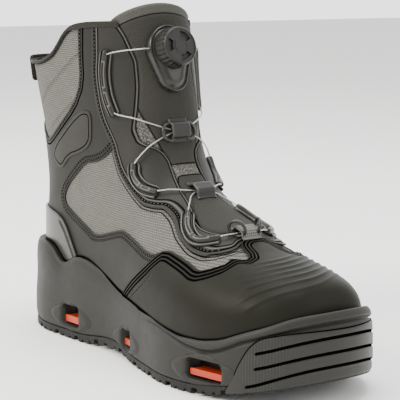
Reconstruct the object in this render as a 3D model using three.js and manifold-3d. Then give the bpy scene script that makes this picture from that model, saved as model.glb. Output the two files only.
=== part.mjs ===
// Wading boot for the right foot, standing empty on its sole.
// Millimetres, +Z up, toe towards -Y, lateral side at -X, ground at Z = 0.
import * as THREE from 'three';
import { mergeVertices } from 'three/addons/utils/BufferGeometryUtils.js';
import Module from 'manifold-3d';

const wasm = await Module();
wasm.setup();

// Driving dimensions
const soleLength = 322;
const ballWidth = 124;
const lastHeight = 250;
const wall = 2.8;
const meshRecess = 1.2;
const eyestayRise = 0.9;
const patchRise = 0.8;
const fit = 0.3;

const vampThickness = 1.2;
const vampTabHalf = 15;
const ridgeRise = 0.8;
const ridgesFrom = 4.5;
const ridgesTo = 1.6;
const ridgeCount = 7;
const counterThickness = 1.8;
const tabThickness = 3;
const tabHalfWidth = 13;

const lugDepth = 3.2;
const outsolePlate = 2.4;
const outsoleInset = 0.7;
const heelBevel = 4;
const archRise = 4;
const toeSpring = 16;
const groovePitch = 25;
const grooveWidth = 5;
const grooveBend = 12;
const grooveOffset = 21;

const bumperDepth = 1.4;
const bumperRise = 1;
const bumperGroove = 1.6;
const bumperGrooveDepth = 1.3;
const bumperRounding = 0.8;

const portDepth = 12;
const portCornerShare = 0.17;
const plugRecess = 2.5;

const flangeWidth = 13;

const tonguePad = 7;
const tongueBulge = 0.5;
const tongueTopRise = 16;
const tongueTopFoot = 226;
const tongueTopHalf = 36;

const dialRadius = 14.4;
const dialHeight = 11.5;
const dialTeeth = 16;
const dialToothDepth = 0.9;
const dialSlots = 3;
const dialSlotRadius = 7;
const dialSlotWidth = 3;
const dialSlotDepth = 1.6;
const housingRadius = 17;
const housingTipRadius = 11.5;
const housingTipDrop = 18;
const housingHeight = 6;
const housingRim = 1.6;
const housingRimRise = 2.4;

const guideRadius = 2.7;
const guideGap = 0.45;
const laceRadius = 0.75;
const strapWidth = 15;
const strapThickness = 1.6;
const strapFoot = 3.5;
const tunnelLength = 9;
const tunnelDepth = 3.4;

const shellStations = 21;
const shellSides = 22;
const outlineSides = 40;

// The last, as sections that fan from the toe, over the instep, up the shaft.
// Places are shares of soleLength from the heel, heights are shares of lastHeight and half widths
// are shares of ballWidth. The split is the share of a section at its widest point.
// frontAt, frontHigh, backAt, backHigh, lateral, medial, split, frontPower, backPower
const lastSections = [
  [0.966, 0.208, 0.966, 0.176, 0.024, 0.040, 0.50, 2.2, 2.2],
  [0.960, 0.248, 0.960, 0.152, 0.145, 0.172, 0.60, 2.3, 3.0],
  [0.944, 0.280, 0.944, 0.136, 0.230, 0.258, 0.62, 2.4, 3.5],
  [0.910, 0.300, 0.910, 0.124, 0.312, 0.320, 0.64, 2.4, 4.0],
  [0.854, 0.316, 0.854, 0.112, 0.390, 0.367, 0.66, 2.3, 4.5],
  [0.786, 0.336, 0.786, 0.100, 0.435, 0.395, 0.68, 2.2, 5.0],
  [0.711, 0.368, 0.711, 0.096, 0.444, 0.403, 0.68, 2.2, 5.0],
  [0.637, 0.404, 0.630, 0.096, 0.427, 0.395, 0.68, 2.1, 5.0],
  [0.568, 0.448, 0.537, 0.100, 0.395, 0.371, 0.66, 2.1, 5.0],
  [0.519, 0.496, 0.422, 0.108, 0.355, 0.347, 0.62, 2.2, 4.5],
  [0.488, 0.552, 0.283, 0.120, 0.331, 0.335, 0.56, 2.4, 4.0],
  [0.472, 0.604, 0.152, 0.128, 0.323, 0.329, 0.53, 2.6, 3.6],
  [0.463, 0.656, 0.059, 0.168, 0.315, 0.329, 0.52, 2.7, 3.0],
  [0.457, 0.708, 0.034, 0.272, 0.315, 0.331, 0.52, 2.7, 2.5],
  [0.447, 0.760, 0.043, 0.400, 0.331, 0.339, 0.52, 2.7, 2.3],
  [0.438, 0.820, 0.028, 0.552, 0.347, 0.352, 0.52, 2.6, 2.2],
  [0.425, 0.888, 0.009, 0.700, 0.379, 0.367, 0.52, 2.5, 2.2],
  [0.413, 0.960, -0.009, 0.840, 0.403, 0.379, 0.52, 2.4, 2.2],
  [0.407, 1.000, -0.019, 0.928, 0.411, 0.387, 0.52, 2.4, 2.2],
];
const lastStation = lastSections.length - 1;

// Outline of the sole, clockwise from the back of the heel along the lateral side.
// share of soleLength from the heel, share of ballWidth
const soleOutline = [
  [0.000, 0.000], [0.035, -0.245], [0.130, -0.370], [0.260, -0.375], [0.420, -0.365],
  [0.560, -0.430], [0.680, -0.490], [0.800, -0.460], [0.900, -0.390], [0.966, -0.235],
  [1.000, 0.030], [0.972, 0.270], [0.885, 0.430], [0.750, 0.500], [0.600, 0.440],
  [0.450, 0.335], [0.280, 0.350], [0.130, 0.360], [0.035, 0.240],
];

// Top edge of the midsole: share of soleLength from the heel, share of lastHeight
const midsoleTop = [
  [-0.02, 0.256], [0.065, 0.260], [0.134, 0.264], [0.174, 0.252], [0.202, 0.220], [0.220, 0.212],
  [0.242, 0.228], [0.276, 0.244], [0.314, 0.240], [0.360, 0.224], [0.407, 0.204], [0.453, 0.184],
  [0.509, 0.176], [0.584, 0.160], [0.655, 0.144], [0.724, 0.136], [0.789, 0.140], [0.839, 0.152],
  [0.885, 0.176], [0.935, 0.200], [0.972, 0.224], [1.020, 0.240],
];

// Side of the midsole from its bottom to its top edge: share of the height, inset in millimetres
const midsoleSide = [
  [0.00, 0.9], [0.07, 0.0], [0.66, 0.4], [0.71, 1.5], [0.90, 2.0], [1.00, 3.2],
];

// Side view outlines: share of soleLength from the heel, share of lastHeight
const collarLine = [
  [0.560, 0.916], [0.438, 0.916], [0.360, 0.914], [0.304, 0.910], [0.280, 0.900], [0.264, 0.888],
  [0.242, 0.860], [0.224, 0.835], [0.196, 0.814], [0.146, 0.796], [0.081, 0.792], [-0.100, 0.796],
];
const quarterWindow = [
  [0.385, 0.571], [0.362, 0.541], [0.329, 0.523], [0.292, 0.516], [0.251, 0.476], [0.220, 0.442],
  [0.201, 0.410], [0.210, 0.382], [0.250, 0.360], [0.309, 0.332], [0.330, 0.319], [0.360, 0.322],
  [0.442, 0.352], [0.461, 0.350], [0.574, 0.308], [0.620, 0.334], [0.697, 0.315], [0.734, 0.300],
  [0.758, 0.310], [0.777, 0.324], [0.745, 0.342], [0.719, 0.332], [0.672, 0.342], [0.622, 0.368],
  [0.582, 0.404], [0.545, 0.427], [0.525, 0.425], [0.493, 0.429], [0.463, 0.452], [0.435, 0.478],
  [0.413, 0.506], [0.392, 0.550],
];
const rearWindow = [
  [0.304, 0.894], [0.292, 0.708], [0.141, 0.558], [0.096, 0.588], [0.034, 0.624], [-0.043, 0.640],
  [-0.043, 0.830], [0.070, 0.830], [0.081, 0.776], [0.146, 0.780], [0.196, 0.798], [0.242, 0.844],
  [0.280, 0.884],
];
const eyestayArea = [
  [0.339, 0.960], [0.342, 0.836], [0.335, 0.768], [0.342, 0.700], [0.357, 0.628], [0.385, 0.572],
  [0.392, 0.550], [0.413, 0.506], [0.435, 0.478], [0.463, 0.452], [0.493, 0.429], [0.525, 0.425],
  [0.545, 0.427], [0.582, 0.404], [0.622, 0.368], [0.672, 0.342], [0.719, 0.332], [0.745, 0.342],
  [0.745, 0.560], [0.560, 0.960],
];
const ankleArea = [
  [0.150, 0.529], [0.288, 0.666], [0.327, 0.664], [0.320, 0.584], [0.304, 0.560], [0.275, 0.542],
  [0.236, 0.528], [0.198, 0.483],
];
const vampArea = [
  [0.455, 0.136], [0.455, 0.163], [0.503, 0.220], [0.567, 0.276], [0.593, 0.306], [0.620, 0.334],
  [0.697, 0.315], [0.734, 0.300], [0.758, 0.310], [0.777, 0.324], [0.792, 0.326], [0.792, 0.420],
  [1.060, 0.420], [1.060, 0.190], [0.966, 0.190], [0.885, 0.148], [0.839, 0.124], [0.724, 0.104],
  [0.584, 0.128],
];
const vampTab = [
  [0.757, 0.260], [0.757, 0.420], [0.800, 0.420], [0.800, 0.260],
];
const counterArea = [
  [0.276, 0.200], [0.266, 0.234], [0.246, 0.271], [0.219, 0.316], [0.189, 0.348], [0.112, 0.360],
  [-0.050, 0.364], [-0.050, 0.190],
];
const bumperArea = [
  [0.852, -0.040], [0.856, 0.036], [0.872, 0.060], [0.886, 0.104], [0.905, 0.150], [0.925, 0.176],
  [0.972, 0.192], [1.060, 0.200], [1.060, -0.040],
];
const insoleTop = [
  [0.000, 0.190], [0.080, 0.172], [0.152, 0.162], [0.283, 0.152], [0.422, 0.140], [0.537, 0.132],
  [0.630, 0.128], [0.711, 0.128], [0.786, 0.132], [0.854, 0.144], [0.935, 0.162], [1.000, 0.180],
];
const tabArea = [
  [-0.080, 0.740], [0.060, 0.740], [0.060, 0.800], [-0.080, 0.800],
];

// Half width of the throat along the last: station, share of ballWidth
const throatEdge = [
  [6.0, 0.045], [6.15, 0.105], [6.4, 0.155], [6.8, 0.180], [7.2, 0.170], [7.6, 0.130],
  [8.0, 0.112], [8.6, 0.104], [9.3, 0.094], [10.0, 0.092], [10.6, 0.108], [11.0, 0.140],
  [11.4, 0.180], [11.8, 0.206], [12.3, 0.218], [13.0, 0.202], [14.0, 0.190], [15.0, 0.188],
  [16.0, 0.226], [17.0, 0.290], [18.0, 0.320],
];
// Half width of the tongue along the last: station, share of ballWidth
const tongueEdge = [
  [5.8, 0.120], [6.4, 0.215], [7.3, 0.220], [8.6, 0.175], [9.6, 0.170], [10.6, 0.190],
  [11.4, 0.240], [12.6, 0.250], [14.0, 0.250], [15.5, 0.262], [17.0, 0.290], [18.0, 0.290],
];
const throatDepth = 44;
const throatReach = 30;

// Openings through the side of the midsole for the plugs that hold the outsole.
// name, from and to along the sole, low and high, as shares of soleLength and lastHeight
const ports = [
  ['heel', 0.227, 0.294, 0.038, 0.098],
  ['waist', 0.474, 0.522, 0.030, 0.082],
  ['ball', 0.758, 0.848, 0.034, 0.086],
];
const plugShare = 0.5;

// Heights of the grooves round the toe bumper above the ground line
const bumperGrooves = [9, 18, 27];

// Lace guides on each side of the throat: station and angle round the last, front being 0
const laceGuides = [
  ['shaft', [[15.7, 47], [15.0, 53], [14.2, 54], [13.25, 51]]],
  ['instep', [[10.6, 42], [10.1, 45], [9.5, 42], [8.9, 33]]],
  ['forefoot', [[7.55, 22], [7.0, 31], [6.45, 32], [6.05, 19]]],
];
const strapStations = [['upper', 11.25], ['lower', 8.2]];
const toeLoopStation = 6.02;
const dialStation = 15.25;

const sides = [['lateral', -1], ['medial', 1]];

const paint = {
  outsole: ['#2f2f2e', 0.85],
  midsole: ['#5f605e', 0.8],
  bumper: ['#6b6c69', 0.7],
  plug: ['#f0562c', 0.5],
  upper: ['#74746f', 0.8],
  vamp: ['#55544b', 0.6],
  counter: ['#8c8d8a', 0.35],
  tongue: ['#4a4946', 0.75],
  insole: ['#3b3b3a', 0.9],
  dial: ['#5c5c5a', 0.45],
  guide: ['#8f8f8a', 0.5],
  strap: ['#77776f', 0.8],
  lace: ['#c9c9c2', 0.3, 0.6],
};

// Solids from points, and joins and cuts
function solid(points, faces) {
  const mesh = new wasm.Mesh({
    numProp: 3,
    vertProperties: new Float32Array(points.flatMap((p) => p.toArray())),
    triVerts: new Uint32Array(faces.flat()),
  });
  return new wasm.Manifold(mesh);
}

function signedVolume(points, faces) {
  return faces.reduce((sum, [a, b, c]) => (
    sum + points[a].dot(points[b].clone().cross(points[c])) / 6), 0);
}

function lofted(rings) {
  const size = rings[0].length;
  const points = rings.flat();
  const faces = [];
  for (let i = 0; i + 1 < rings.length; i += 1) {
    for (let j = 0; j < size; j += 1) {
      const k = (j + 1) % size;
      const [a, b, c, d] = [i * size + j, i * size + k, (i + 1) * size + k, (i + 1) * size + j];
      faces.push([a, b, c], [a, c, d]);
    }
  }
  for (const [ring, low] of [[0, true], [rings.length - 1, false]]) {
    const middle = new THREE.Vector3();
    rings[ring].forEach((p) => middle.addScaledVector(p, 1 / size));
    points.push(middle);
    for (let j = 0; j < size; j += 1) {
      const [a, b] = [ring * size + j, ring * size + (j + 1) % size];
      faces.push(low ? [b, a, points.length - 1] : [a, b, points.length - 1]);
    }
  }
  if (signedVolume(points, faces) < 0) faces.forEach((face) => face.reverse());
  return solid(points, faces);
}

function fromGeometry(geometry) {
  geometry.deleteAttribute('normal');
  geometry.deleteAttribute('uv');
  const merged = mergeVertices(geometry, 1e-4);
  return new wasm.Manifold(new wasm.Mesh({
    numProp: 3,
    vertProperties: new Float32Array(merged.attributes.position.array),
    triVerts: new Uint32Array(merged.index.array),
  }));
}

function extruded(corners, from, to, basis) {
  const shape = new THREE.Shape(corners.map(([a, b]) => new THREE.Vector2(a, b)));
  const geometry = new THREE.ExtrudeGeometry(shape, { depth: to - from, bevelEnabled: false });
  geometry.translate(0, 0, from);
  geometry.applyMatrix4(basis);
  return fromGeometry(geometry);
}

const alongX = new THREE.Matrix4().makeBasis(
  new THREE.Vector3(0, 1, 0), new THREE.Vector3(0, 0, 1), new THREE.Vector3(1, 0, 0));
const alongY = new THREE.Matrix4().makeBasis(
  new THREE.Vector3(0, 0, 1), new THREE.Vector3(1, 0, 0), new THREE.Vector3(0, 1, 0));
const alongZ = new THREE.Matrix4();

function fromHeel(share) {
  return (0.5 - share) * soleLength;
}

// A prism across the boot whose side view is a table of shares
function sidePrism(table, from = -ballWidth, to = ballWidth) {
  return extruded(table.map(([u, h]) => [fromHeel(u), h * lastHeight]), from, to, alongX);
}

function tube(curve, radius, steps, sideCount) {
  const ring = new THREE.Shape();
  for (let i = 0; i < sideCount; i += 1) {
    const turn = (i / sideCount) * Math.PI * 2;
    const at = [radius * Math.cos(turn), radius * Math.sin(turn)];
    if (i === 0) ring.moveTo(...at);
    else ring.lineTo(...at);
  }
  return fromGeometry(new THREE.ExtrudeGeometry(ring, { steps, extrudePath: curve }));
}

// Curves through table rows
function catmullRom(rows, at) {
  const last = rows.length - 1;
  const i = Math.max(0, Math.min(Math.floor(at), last - 1));
  const f = at - i;
  const [a, b, c, d] = [i - 1, i, i + 1, i + 2].map((k) => rows[Math.max(0, Math.min(k, last))]);
  return b.map((_, k) => 0.5 * (2 * b[k] + (c[k] - a[k]) * f
    + (2 * a[k] - 5 * b[k] + 4 * c[k] - d[k]) * f ** 2
    + (3 * b[k] - a[k] - 3 * c[k] + d[k]) * f ** 3));
}

function between(table, at) {
  const last = table.length - 1;
  if (at <= table[0][0]) return table[0][1];
  if (at >= table[last][0]) return table[last][1];
  const i = table.findIndex(([key]) => key > at) - 1;
  const share = (at - table[i][0]) / (table[i + 1][0] - table[i][0]);
  return table[i][1] + share * (table[i + 1][1] - table[i][1]);
}

// The last and its larger and smaller copies
function sectionAt(station) {
  const row = catmullRom(lastSections, station);
  return {
    front: new THREE.Vector3(0, fromHeel(row[0]), row[1] * lastHeight),
    back: new THREE.Vector3(0, fromHeel(row[2]), row[3] * lastHeight),
    lateral: row[4] * ballWidth,
    medial: row[5] * ballWidth,
    split: row[6],
    frontPower: row[7],
    backPower: row[8],
  };
}

function lastPoint(station, angle) {
  const section = sectionAt(station);
  const c = Math.cos(angle);
  const s = Math.sin(angle);
  const power = 2 / (c >= 0 ? section.frontPower : section.backPower);
  const a = Math.sign(c) * Math.abs(c) ** power;
  const b = Math.sign(s) * Math.abs(s) ** power;
  const along = a >= 0 ? section.split * (1 - a) : section.split - (1 - section.split) * a;
  const point = section.front.clone().lerp(section.back, along);
  point.x = b * (b >= 0 ? section.medial : section.lateral);
  return point;
}

function lastNormal(station, angle) {
  const step = 0.02;
  const high = lastPoint(Math.min(station + step, lastStation), angle);
  const low = lastPoint(Math.max(station - step, 0), angle);
  const right = lastPoint(station, angle + step);
  const left = lastPoint(station, angle - step);
  return high.sub(low).cross(right.sub(left)).normalize().negate();
}

function offLast(station, angle, offset) {
  return lastPoint(station, angle).addScaledVector(lastNormal(station, angle), offset);
}

function lastRing(station, offsetAt) {
  return Array.from({ length: shellSides }, (_, j) => {
    const angle = (j / shellSides) * Math.PI * 2;
    return offLast(station, angle, offsetAt(angle));
  });
}

function lastForm(offset) {
  return lofted(Array.from({ length: shellStations }, (_, i) => (
    lastRing((i / (shellStations - 1)) * lastStation, () => offset))));
}

// A larger last, cut off past the vamp, whose toe may carry cross ridges
function toeForm(offset, rise) {
  const rings = [];
  const add = (station, height) => rings.push(lastRing(station, (angle) => (
    offset + height * Math.max(0, 2 * Math.cos(angle) - 1) ** 0.5)));
  for (let station = 0; station < ridgesTo - 0.2; station += 0.7) add(station, 0);
  for (let i = 0; i <= ridgeCount * 2; i += 1) {
    add(ridgesTo + ((ridgesFrom - ridgesTo) * i) / (ridgeCount * 2), i % 2 === 1 ? rise : 0);
  }
  for (let station = ridgesFrom + 0.75; station <= 11; station += 0.8) add(station, 0);
  return lofted(rings);
}

// A band along the front of the last, with its edges square to the section planes
function frontBand(edge, margin) {
  return lofted(edge.map(([station, share]) => {
    const { front, back } = sectionAt(station);
    const inward = back.clone().sub(front).normalize();
    const half = share * ballWidth + margin;
    const outside = front.clone().addScaledVector(inward, -throatReach);
    const inside = front.clone().addScaledVector(inward, throatDepth);
    return [[-half, outside], [half, outside], [half, inside], [-half, inside]].map(([x, at]) => (
      new THREE.Vector3(x, at.y, at.z)));
  }));
}

// The sole outline, its ground line and stacks of its copies
function outlineAt(share) {
  const count = soleOutline.length;
  const at = share * count;
  const i = Math.floor(at);
  const rows = [-1, 0, 1, 2].map((k) => soleOutline[(i + k + count) % count]);
  const [u, v] = catmullRom(rows, 1 + at - i);
  return new THREE.Vector2(v * ballWidth, fromHeel(u));
}

const outlineRing = Array.from({ length: outlineSides }, (_, i) => {
  const step = 0.25 / outlineSides;
  const share = i / outlineSides;
  const point = outlineAt(share);
  const along = outlineAt((share + step) % 1).sub(outlineAt((share - step + 1) % 1)).normalize();
  return { point, inward: new THREE.Vector2(-along.y, along.x), u: 0.5 - point.y / soleLength };
});

function groundLine(u) {
  const heelEnd = 0.065;
  const archFrom = 0.28;
  const archTo = 0.56;
  const springFrom = 0.735;
  if (u < heelEnd) return heelBevel * (1 - Math.max(u, 0) / heelEnd) ** 2;
  if (u < archFrom) return 0;
  if (u < archTo) return archRise * Math.sin(((u - archFrom) / (archTo - archFrom)) * Math.PI) ** 2;
  if (u < springFrom) return 0;
  return toeSpring * ((Math.min(u, 1) - springFrom) / (1 - springFrom)) ** 1.6;
}

function soleStack(levels) {
  return lofted(levels.map(([inset, height]) => outlineRing.map(({ point, inward, u }) => (
    new THREE.Vector3(point.x + inward.x * inset, point.y + inward.y * inset, height(u))))));
}

// Everything under the ground line raised by an amount
function underside(rise) {
  const heel = [-0.05, 0, 0.02, 0.04, 0.065];
  const arch = [0.28, 0.32, 0.36, 0.4, 0.44, 0.48, 0.52, 0.56];
  const toe = [0.735, 0.77, 0.81, 0.85, 0.89, 0.93, 0.97, 1, 1.05];
  const line = [...heel, ...arch, ...toe].map((u) => [fromHeel(u), groundLine(u) + rise]);
  return extruded([...line, [fromHeel(1.05), -underSole], [fromHeel(-0.05), -underSole]],
    -ballWidth, ballWidth, alongX);
}

const underSole = 20;
const outsoleHeight = lugDepth + outsolePlate;
const midsoleBottom = (u) => groundLine(u) + outsoleHeight + fit;
const midsoleEdge = (u) => between(midsoleTop, u) * lastHeight;
const cupHeight = (share) => (u) => midsoleBottom(u) + share * (midsoleEdge(u) - midsoleBottom(u));

// Forms that several pieces share
const outer = lastForm(0);
const clearOfUpper = lastForm(fit);
const throatCut = frontBand(throatEdge, 0);
const vampPrism = sidePrism(vampArea);
const clearOfVamp = toeForm(vampThickness + 2 * fit, 0);
const counterPrism = sidePrism(counterArea);
const bumperPrism = sidePrism(bumperArea);

function upperSolid() {
  const inner = lastForm(-wall);
  const eyestay = lastForm(eyestayRise).intersect(sidePrism(eyestayArea));
  const patch = lastForm(patchRise).intersect(sidePrism(ankleArea));
  const windows = sidePrism(quarterWindow).add(sidePrism(rearWindow)).subtract(lastForm(-meshRecess));
  const collar = sidePrism([...collarLine, [-0.100, 1.2], [0.560, 1.2]]);
  const flange = soleStack([
    [flangeWidth, () => 0],
    [flangeWidth, (u) => between(insoleTop, u) * lastHeight - 1],
  ]);
  return outer.add(eyestay).add(patch)
    .subtract(windows)
    .subtract(inner)
    .subtract(throatCut)
    .subtract(collar)
    .subtract(flange);
}

function vampSolid() {
  const tab = sidePrism(vampTab, -vampTabHalf, vampTabHalf);
  return toeForm(fit + vampThickness, ridgeRise)
    .intersect(vampPrism.add(tab))
    .subtract(clearOfUpper)
    .subtract(frontBand(throatEdge, fit));
}

function counterSolid() {
  return lastForm(fit + counterThickness).intersect(counterPrism).subtract(clearOfUpper);
}

function heelTabSolid() {
  return lastForm(fit - meshRecess + tabThickness)
    .intersect(sidePrism(tabArea, -tabHalfWidth, tabHalfWidth))
    .subtract(lastForm(fit - meshRecess));
}

function midsoleBody(grow) {
  return soleStack([[midsoleSide[0][1] - grow, () => -5], ...midsoleSide.map(([share, inset]) => (
    [inset - grow, cupHeight(share)]))]).subtract(underside(outsoleHeight + fit));
}

function portPrism([, from, to, low, high], side, clearance, share) {
  const height = (high - low) * lastHeight;
  const [y0, y1] = [fromHeel(to) + clearance, fromHeel(from) - clearance];
  const z0 = groundLine((from + to) / 2) + low * lastHeight + clearance;
  const z1 = z0 - clearance + height * share;
  const r = height * portCornerShare;
  const corners = [[y0 + r, z0], [y1 - r, z0], [y1, z0 + r], [y1, z1 - r], [y1 - r, z1],
    [y0 + r, z1], [y0, z1 - r], [y0, z0 + r]];
  return extruded(corners, Math.min(side * ballWidth, 0), Math.max(side * ballWidth, 0), alongX);
}

function uprightOutline(inset) {
  return soleStack([[inset, () => -underSole], [inset, () => lastHeight]]);
}

function plugSolid(port, side) {
  return portPrism(port, side, fit, plugShare)
    .intersect(uprightOutline(plugRecess))
    .subtract(uprightOutline(portDepth - fit));
}

// The prism of an area, grown downwards and towards the arch by the fit
function roomPrism(area) {
  const away = area === vampArea ? -fit : fit;
  return sidePrism(area.map(([u, h]) => [u + away / soleLength, h]))
    .add(sidePrism(area.map(([u, h]) => [u + away / soleLength, h - 2 * fit / lastHeight])));
}

function midsoleSolid() {
  const vampRoom = clearOfVamp.intersect(roomPrism(vampArea));
  const counterRoom = lastForm(counterThickness + 2 * fit).intersect(roomPrism(counterArea));
  const bumperRoom = bumperPrism.subtract(midsoleBody(-bumperDepth - fit));
  let body = midsoleBody(0)
    .subtract(clearOfUpper)
    .subtract(vampRoom)
    .subtract(counterRoom)
    .subtract(bumperRoom);
  for (const port of ports) {
    for (const [, side] of sides) {
      body = body.subtract(portPrism(port, side, 0, 1).subtract(uprightOutline(portDepth)));
    }
  }
  return body;
}

function bumperSolid() {
  const front = sidePrism(bumperArea.map(([u, h]) => [u + fit / soleLength, h - fit / lastHeight]));
  const low = (u) => groundLine(u) + lugDepth * 0.3;
  const outside = soleStack([
    [bumperRounding - bumperRise, low],
    [-bumperRise, (u) => low(u) + 2 * bumperRounding],
    ...midsoleSide.slice(2).map(([share, inset]) => [inset - bumperRise, cupHeight(share)]),
  ]);
  const inside = soleStack([[bumperDepth, () => -5], ...midsoleSide.slice(1).map(([share, inset]) => (
    [inset + bumperDepth, cupHeight(share)]))]);
  let body = outside.intersect(front).subtract(inside).subtract(clearOfVamp);
  for (const height of bumperGrooves) {
    const band = soleStack([
      [-3 * bumperRise, (u) => groundLine(u) + height],
      [-3 * bumperRise, (u) => groundLine(u) + height + bumperGroove],
    ]);
    const core = soleStack([
      [bumperGrooveDepth - bumperRise, (u) => groundLine(u) + height - 1],
      [bumperGrooveDepth - bumperRise + bumperRounding,
        (u) => groundLine(u) + height + bumperGroove + 1],
    ]);
    body = body.subtract(band.subtract(core));
  }
  return body;
}

function grooveStrip(u, bend) {
  const y = fromHeel(u);
  const half = grooveWidth / 2;
  return extruded([[-ballWidth, y - bend - half], [0, y - half], [ballWidth, y - bend - half],
    [ballWidth, y - bend + half], [0, y + half], [-ballWidth, y - bend + half]],
  -underSole, underSole * 2, alongZ);
}

function outsoleSolid() {
  const body = uprightOutline(outsoleInset)
    .intersect(underside(outsoleHeight))
    .subtract(underside(0));
  let grooves = null;
  const count = Math.floor((soleLength * 0.92) / groovePitch);
  for (let i = 0; i < count; i += 1) {
    const u = 0.06 + (i * groovePitch) / soleLength;
    const strip = grooveStrip(u, u < 0.4 ? -grooveBend : grooveBend);
    grooves = grooves ? grooves.add(strip) : strip;
  }
  const [toeEnd, heelEnd, half] = [fromHeel(0.96), fromHeel(0.05), grooveWidth / 2];
  for (const x of [-grooveOffset, grooveOffset]) {
    grooves = grooves.add(extruded([[x - half, toeEnd], [x + half, toeEnd], [x + half, heelEnd],
      [x - half, heelEnd]], -underSole, underSole * 2, alongZ));
  }
  const bumperRoom = bumperPrism.subtract(uprightOutline(bumperDepth + fit));
  return body.subtract(grooves.intersect(underside(lugDepth))).subtract(bumperRoom);
}

function insoleSolid() {
  const line = insoleTop.map(([u, h]) => [fromHeel(u), h * lastHeight]);
  const below = extruded([...line, [fromHeel(1), 0], [fromHeel(0), 0]],
    -ballWidth, ballWidth, alongX);
  return lastForm(-wall - fit).intersect(below);
}

function tongueSolid() {
  const under = lastForm(-wall - fit)
    .subtract(lastForm(-wall - fit - tonguePad))
    .intersect(frontBand(tongueEdge, 0));
  const proud = lastForm(tongueBulge)
    .subtract(lastForm(-wall - fit - tonguePad * 0.6))
    .intersect(frontBand(throatEdge.slice(1), -2 * fit));
  const arc = [];
  for (let i = 0; i <= 12; i += 1) {
    const share = 1 - i / 6;
    arc.push([tongueTopFoot + tongueTopRise * (1 - share ** 2) ** 0.6, tongueTopHalf * share]);
  }
  const front = extruded([[0, tongueTopHalf], ...arc, [0, -tongueTopHalf]],
    -soleLength, soleLength, alongY);
  return under.add(proud).intersect(front);
}

// Front line of the last at a station, with the ways up along it and out from it
function frontAxes(station) {
  const step = 0.3;
  const { front } = sectionAt(station);
  const up = sectionAt(station + step).front.sub(sectionAt(station - step).front).normalize();
  return { front, up, out: new THREE.Vector3(0, -up.z, up.y) };
}

// Dial that winds the lace, on the front of the tongue
function dialFrame() {
  const { front, up, out } = frontAxes(dialStation);
  return new THREE.Matrix4().makeBasis(new THREE.Vector3(1, 0, 0), up, out).setPosition(front);
}

function arcPoints(x, y, radius, from, to, count) {
  return Array.from({ length: count + 1 }, (_, i) => {
    const turn = from + ((to - from) * i) / count;
    return [x + radius * Math.cos(turn), y + radius * Math.sin(turn)];
  });
}

function housingSolid(frame) {
  const lean = Math.asin((housingRadius - housingTipRadius) / housingTipDrop);
  const drop = [
    ...arcPoints(0, 0, housingRadius, -lean, Math.PI + lean, 12),
    ...arcPoints(0, -housingTipDrop, housingTipRadius, Math.PI + lean, Math.PI * 2 - lean, 5),
  ];
  const circle = (radius) => arcPoints(0, 0, radius, 0, Math.PI * 2, 16).slice(0, -1);
  const rimTop = housingHeight + housingRimRise;
  const plate = extruded(drop, -2 * housingHeight, housingHeight, frame);
  const rim = extruded(circle(housingRadius), 0, rimTop, frame);
  const well = extruded(circle(housingRadius - housingRim), housingHeight, rimTop + 1, frame);
  return plate.add(rim).subtract(well).subtract(lastForm(tongueBulge + fit));
}

function knobSolid(frame) {
  const teeth = Array.from({ length: dialTeeth * 2 }, (_, i) => {
    const turn = (i / (dialTeeth * 2)) * Math.PI * 2;
    const radius = dialRadius - (i % 2) * dialToothDepth;
    return [radius * Math.cos(turn), radius * Math.sin(turn)];
  });
  const base = housingHeight + fit;
  const top = base + dialHeight;
  const slotTurn = Math.PI / (2 * dialSlots);
  let body = extruded(teeth, base, top, frame);
  for (let i = 0; i < dialSlots; i += 1) {
    const turn = Math.PI / 2 + (i * Math.PI * 2) / dialSlots;
    const slot = [
      ...arcPoints(0, 0, dialSlotRadius + dialSlotWidth, turn - slotTurn, turn + slotTurn, 4),
      ...arcPoints(0, 0, dialSlotRadius, turn + slotTurn, turn - slotTurn, 4),
    ];
    body = body.subtract(extruded(slot, top - dialSlotDepth, top + 1, frame));
  }
  return body;
}

// Guides, straps and lace
const guideLift = eyestayRise + guideGap + guideRadius;

function guideCurve(path, side) {
  return new THREE.CatmullRomCurve3(path.map(([station, degrees]) => (
    offLast(station, THREE.MathUtils.degToRad(degrees) * side, guideLift))));
}

function guideSolid(path, side) {
  return tube(guideCurve(path, side), guideRadius, 7, 7);
}

// A bridge over the front of the tongue with a tunnel for the lace
function bridgeSolid(station, lift) {
  const { front, up, out } = frontAxes(station);
  const half = tunnelLength / 2;
  const at = (along, rise) => {
    const p = front.clone().addScaledVector(up, along).addScaledVector(out, rise);
    return [p.y, p.z];
  };
  const foot = half + strapFoot;
  const low = -strapThickness;
  const high = lift + tunnelDepth;
  const arch = [
    at(-foot, low), at(-half, low), at(-half, high), at(half, high), at(half, low), at(foot, low),
    at(foot, lift + strapThickness), at(half + strapThickness, high), at(half, high + strapThickness),
    at(-half, high + strapThickness), at(-half - strapThickness, high),
    at(-foot, lift + strapThickness),
  ];
  return extruded(arch, -strapWidth / 2, strapWidth / 2, alongX).subtract(lastForm(lift));
}

const bridgeLift = tongueBulge + fit;
const toeLoopLift = eyestayRise + fit;

function guideEnd(index, side, last) {
  const path = laceGuides[index][1];
  const curve = guideCurve(path, side);
  const at = curve.getPointAt(last ? 1 : 0);
  const along = curve.getTangentAt(last ? 1 : 0).multiplyScalar(last ? 1 : -1);
  const [station, degrees] = path[last ? path.length - 1 : 0];
  const angle = THREE.MathUtils.degToRad(degrees) * side;
  return { at: at.addScaledVector(along, 2 * fit), along, station, angle };
}

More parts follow.
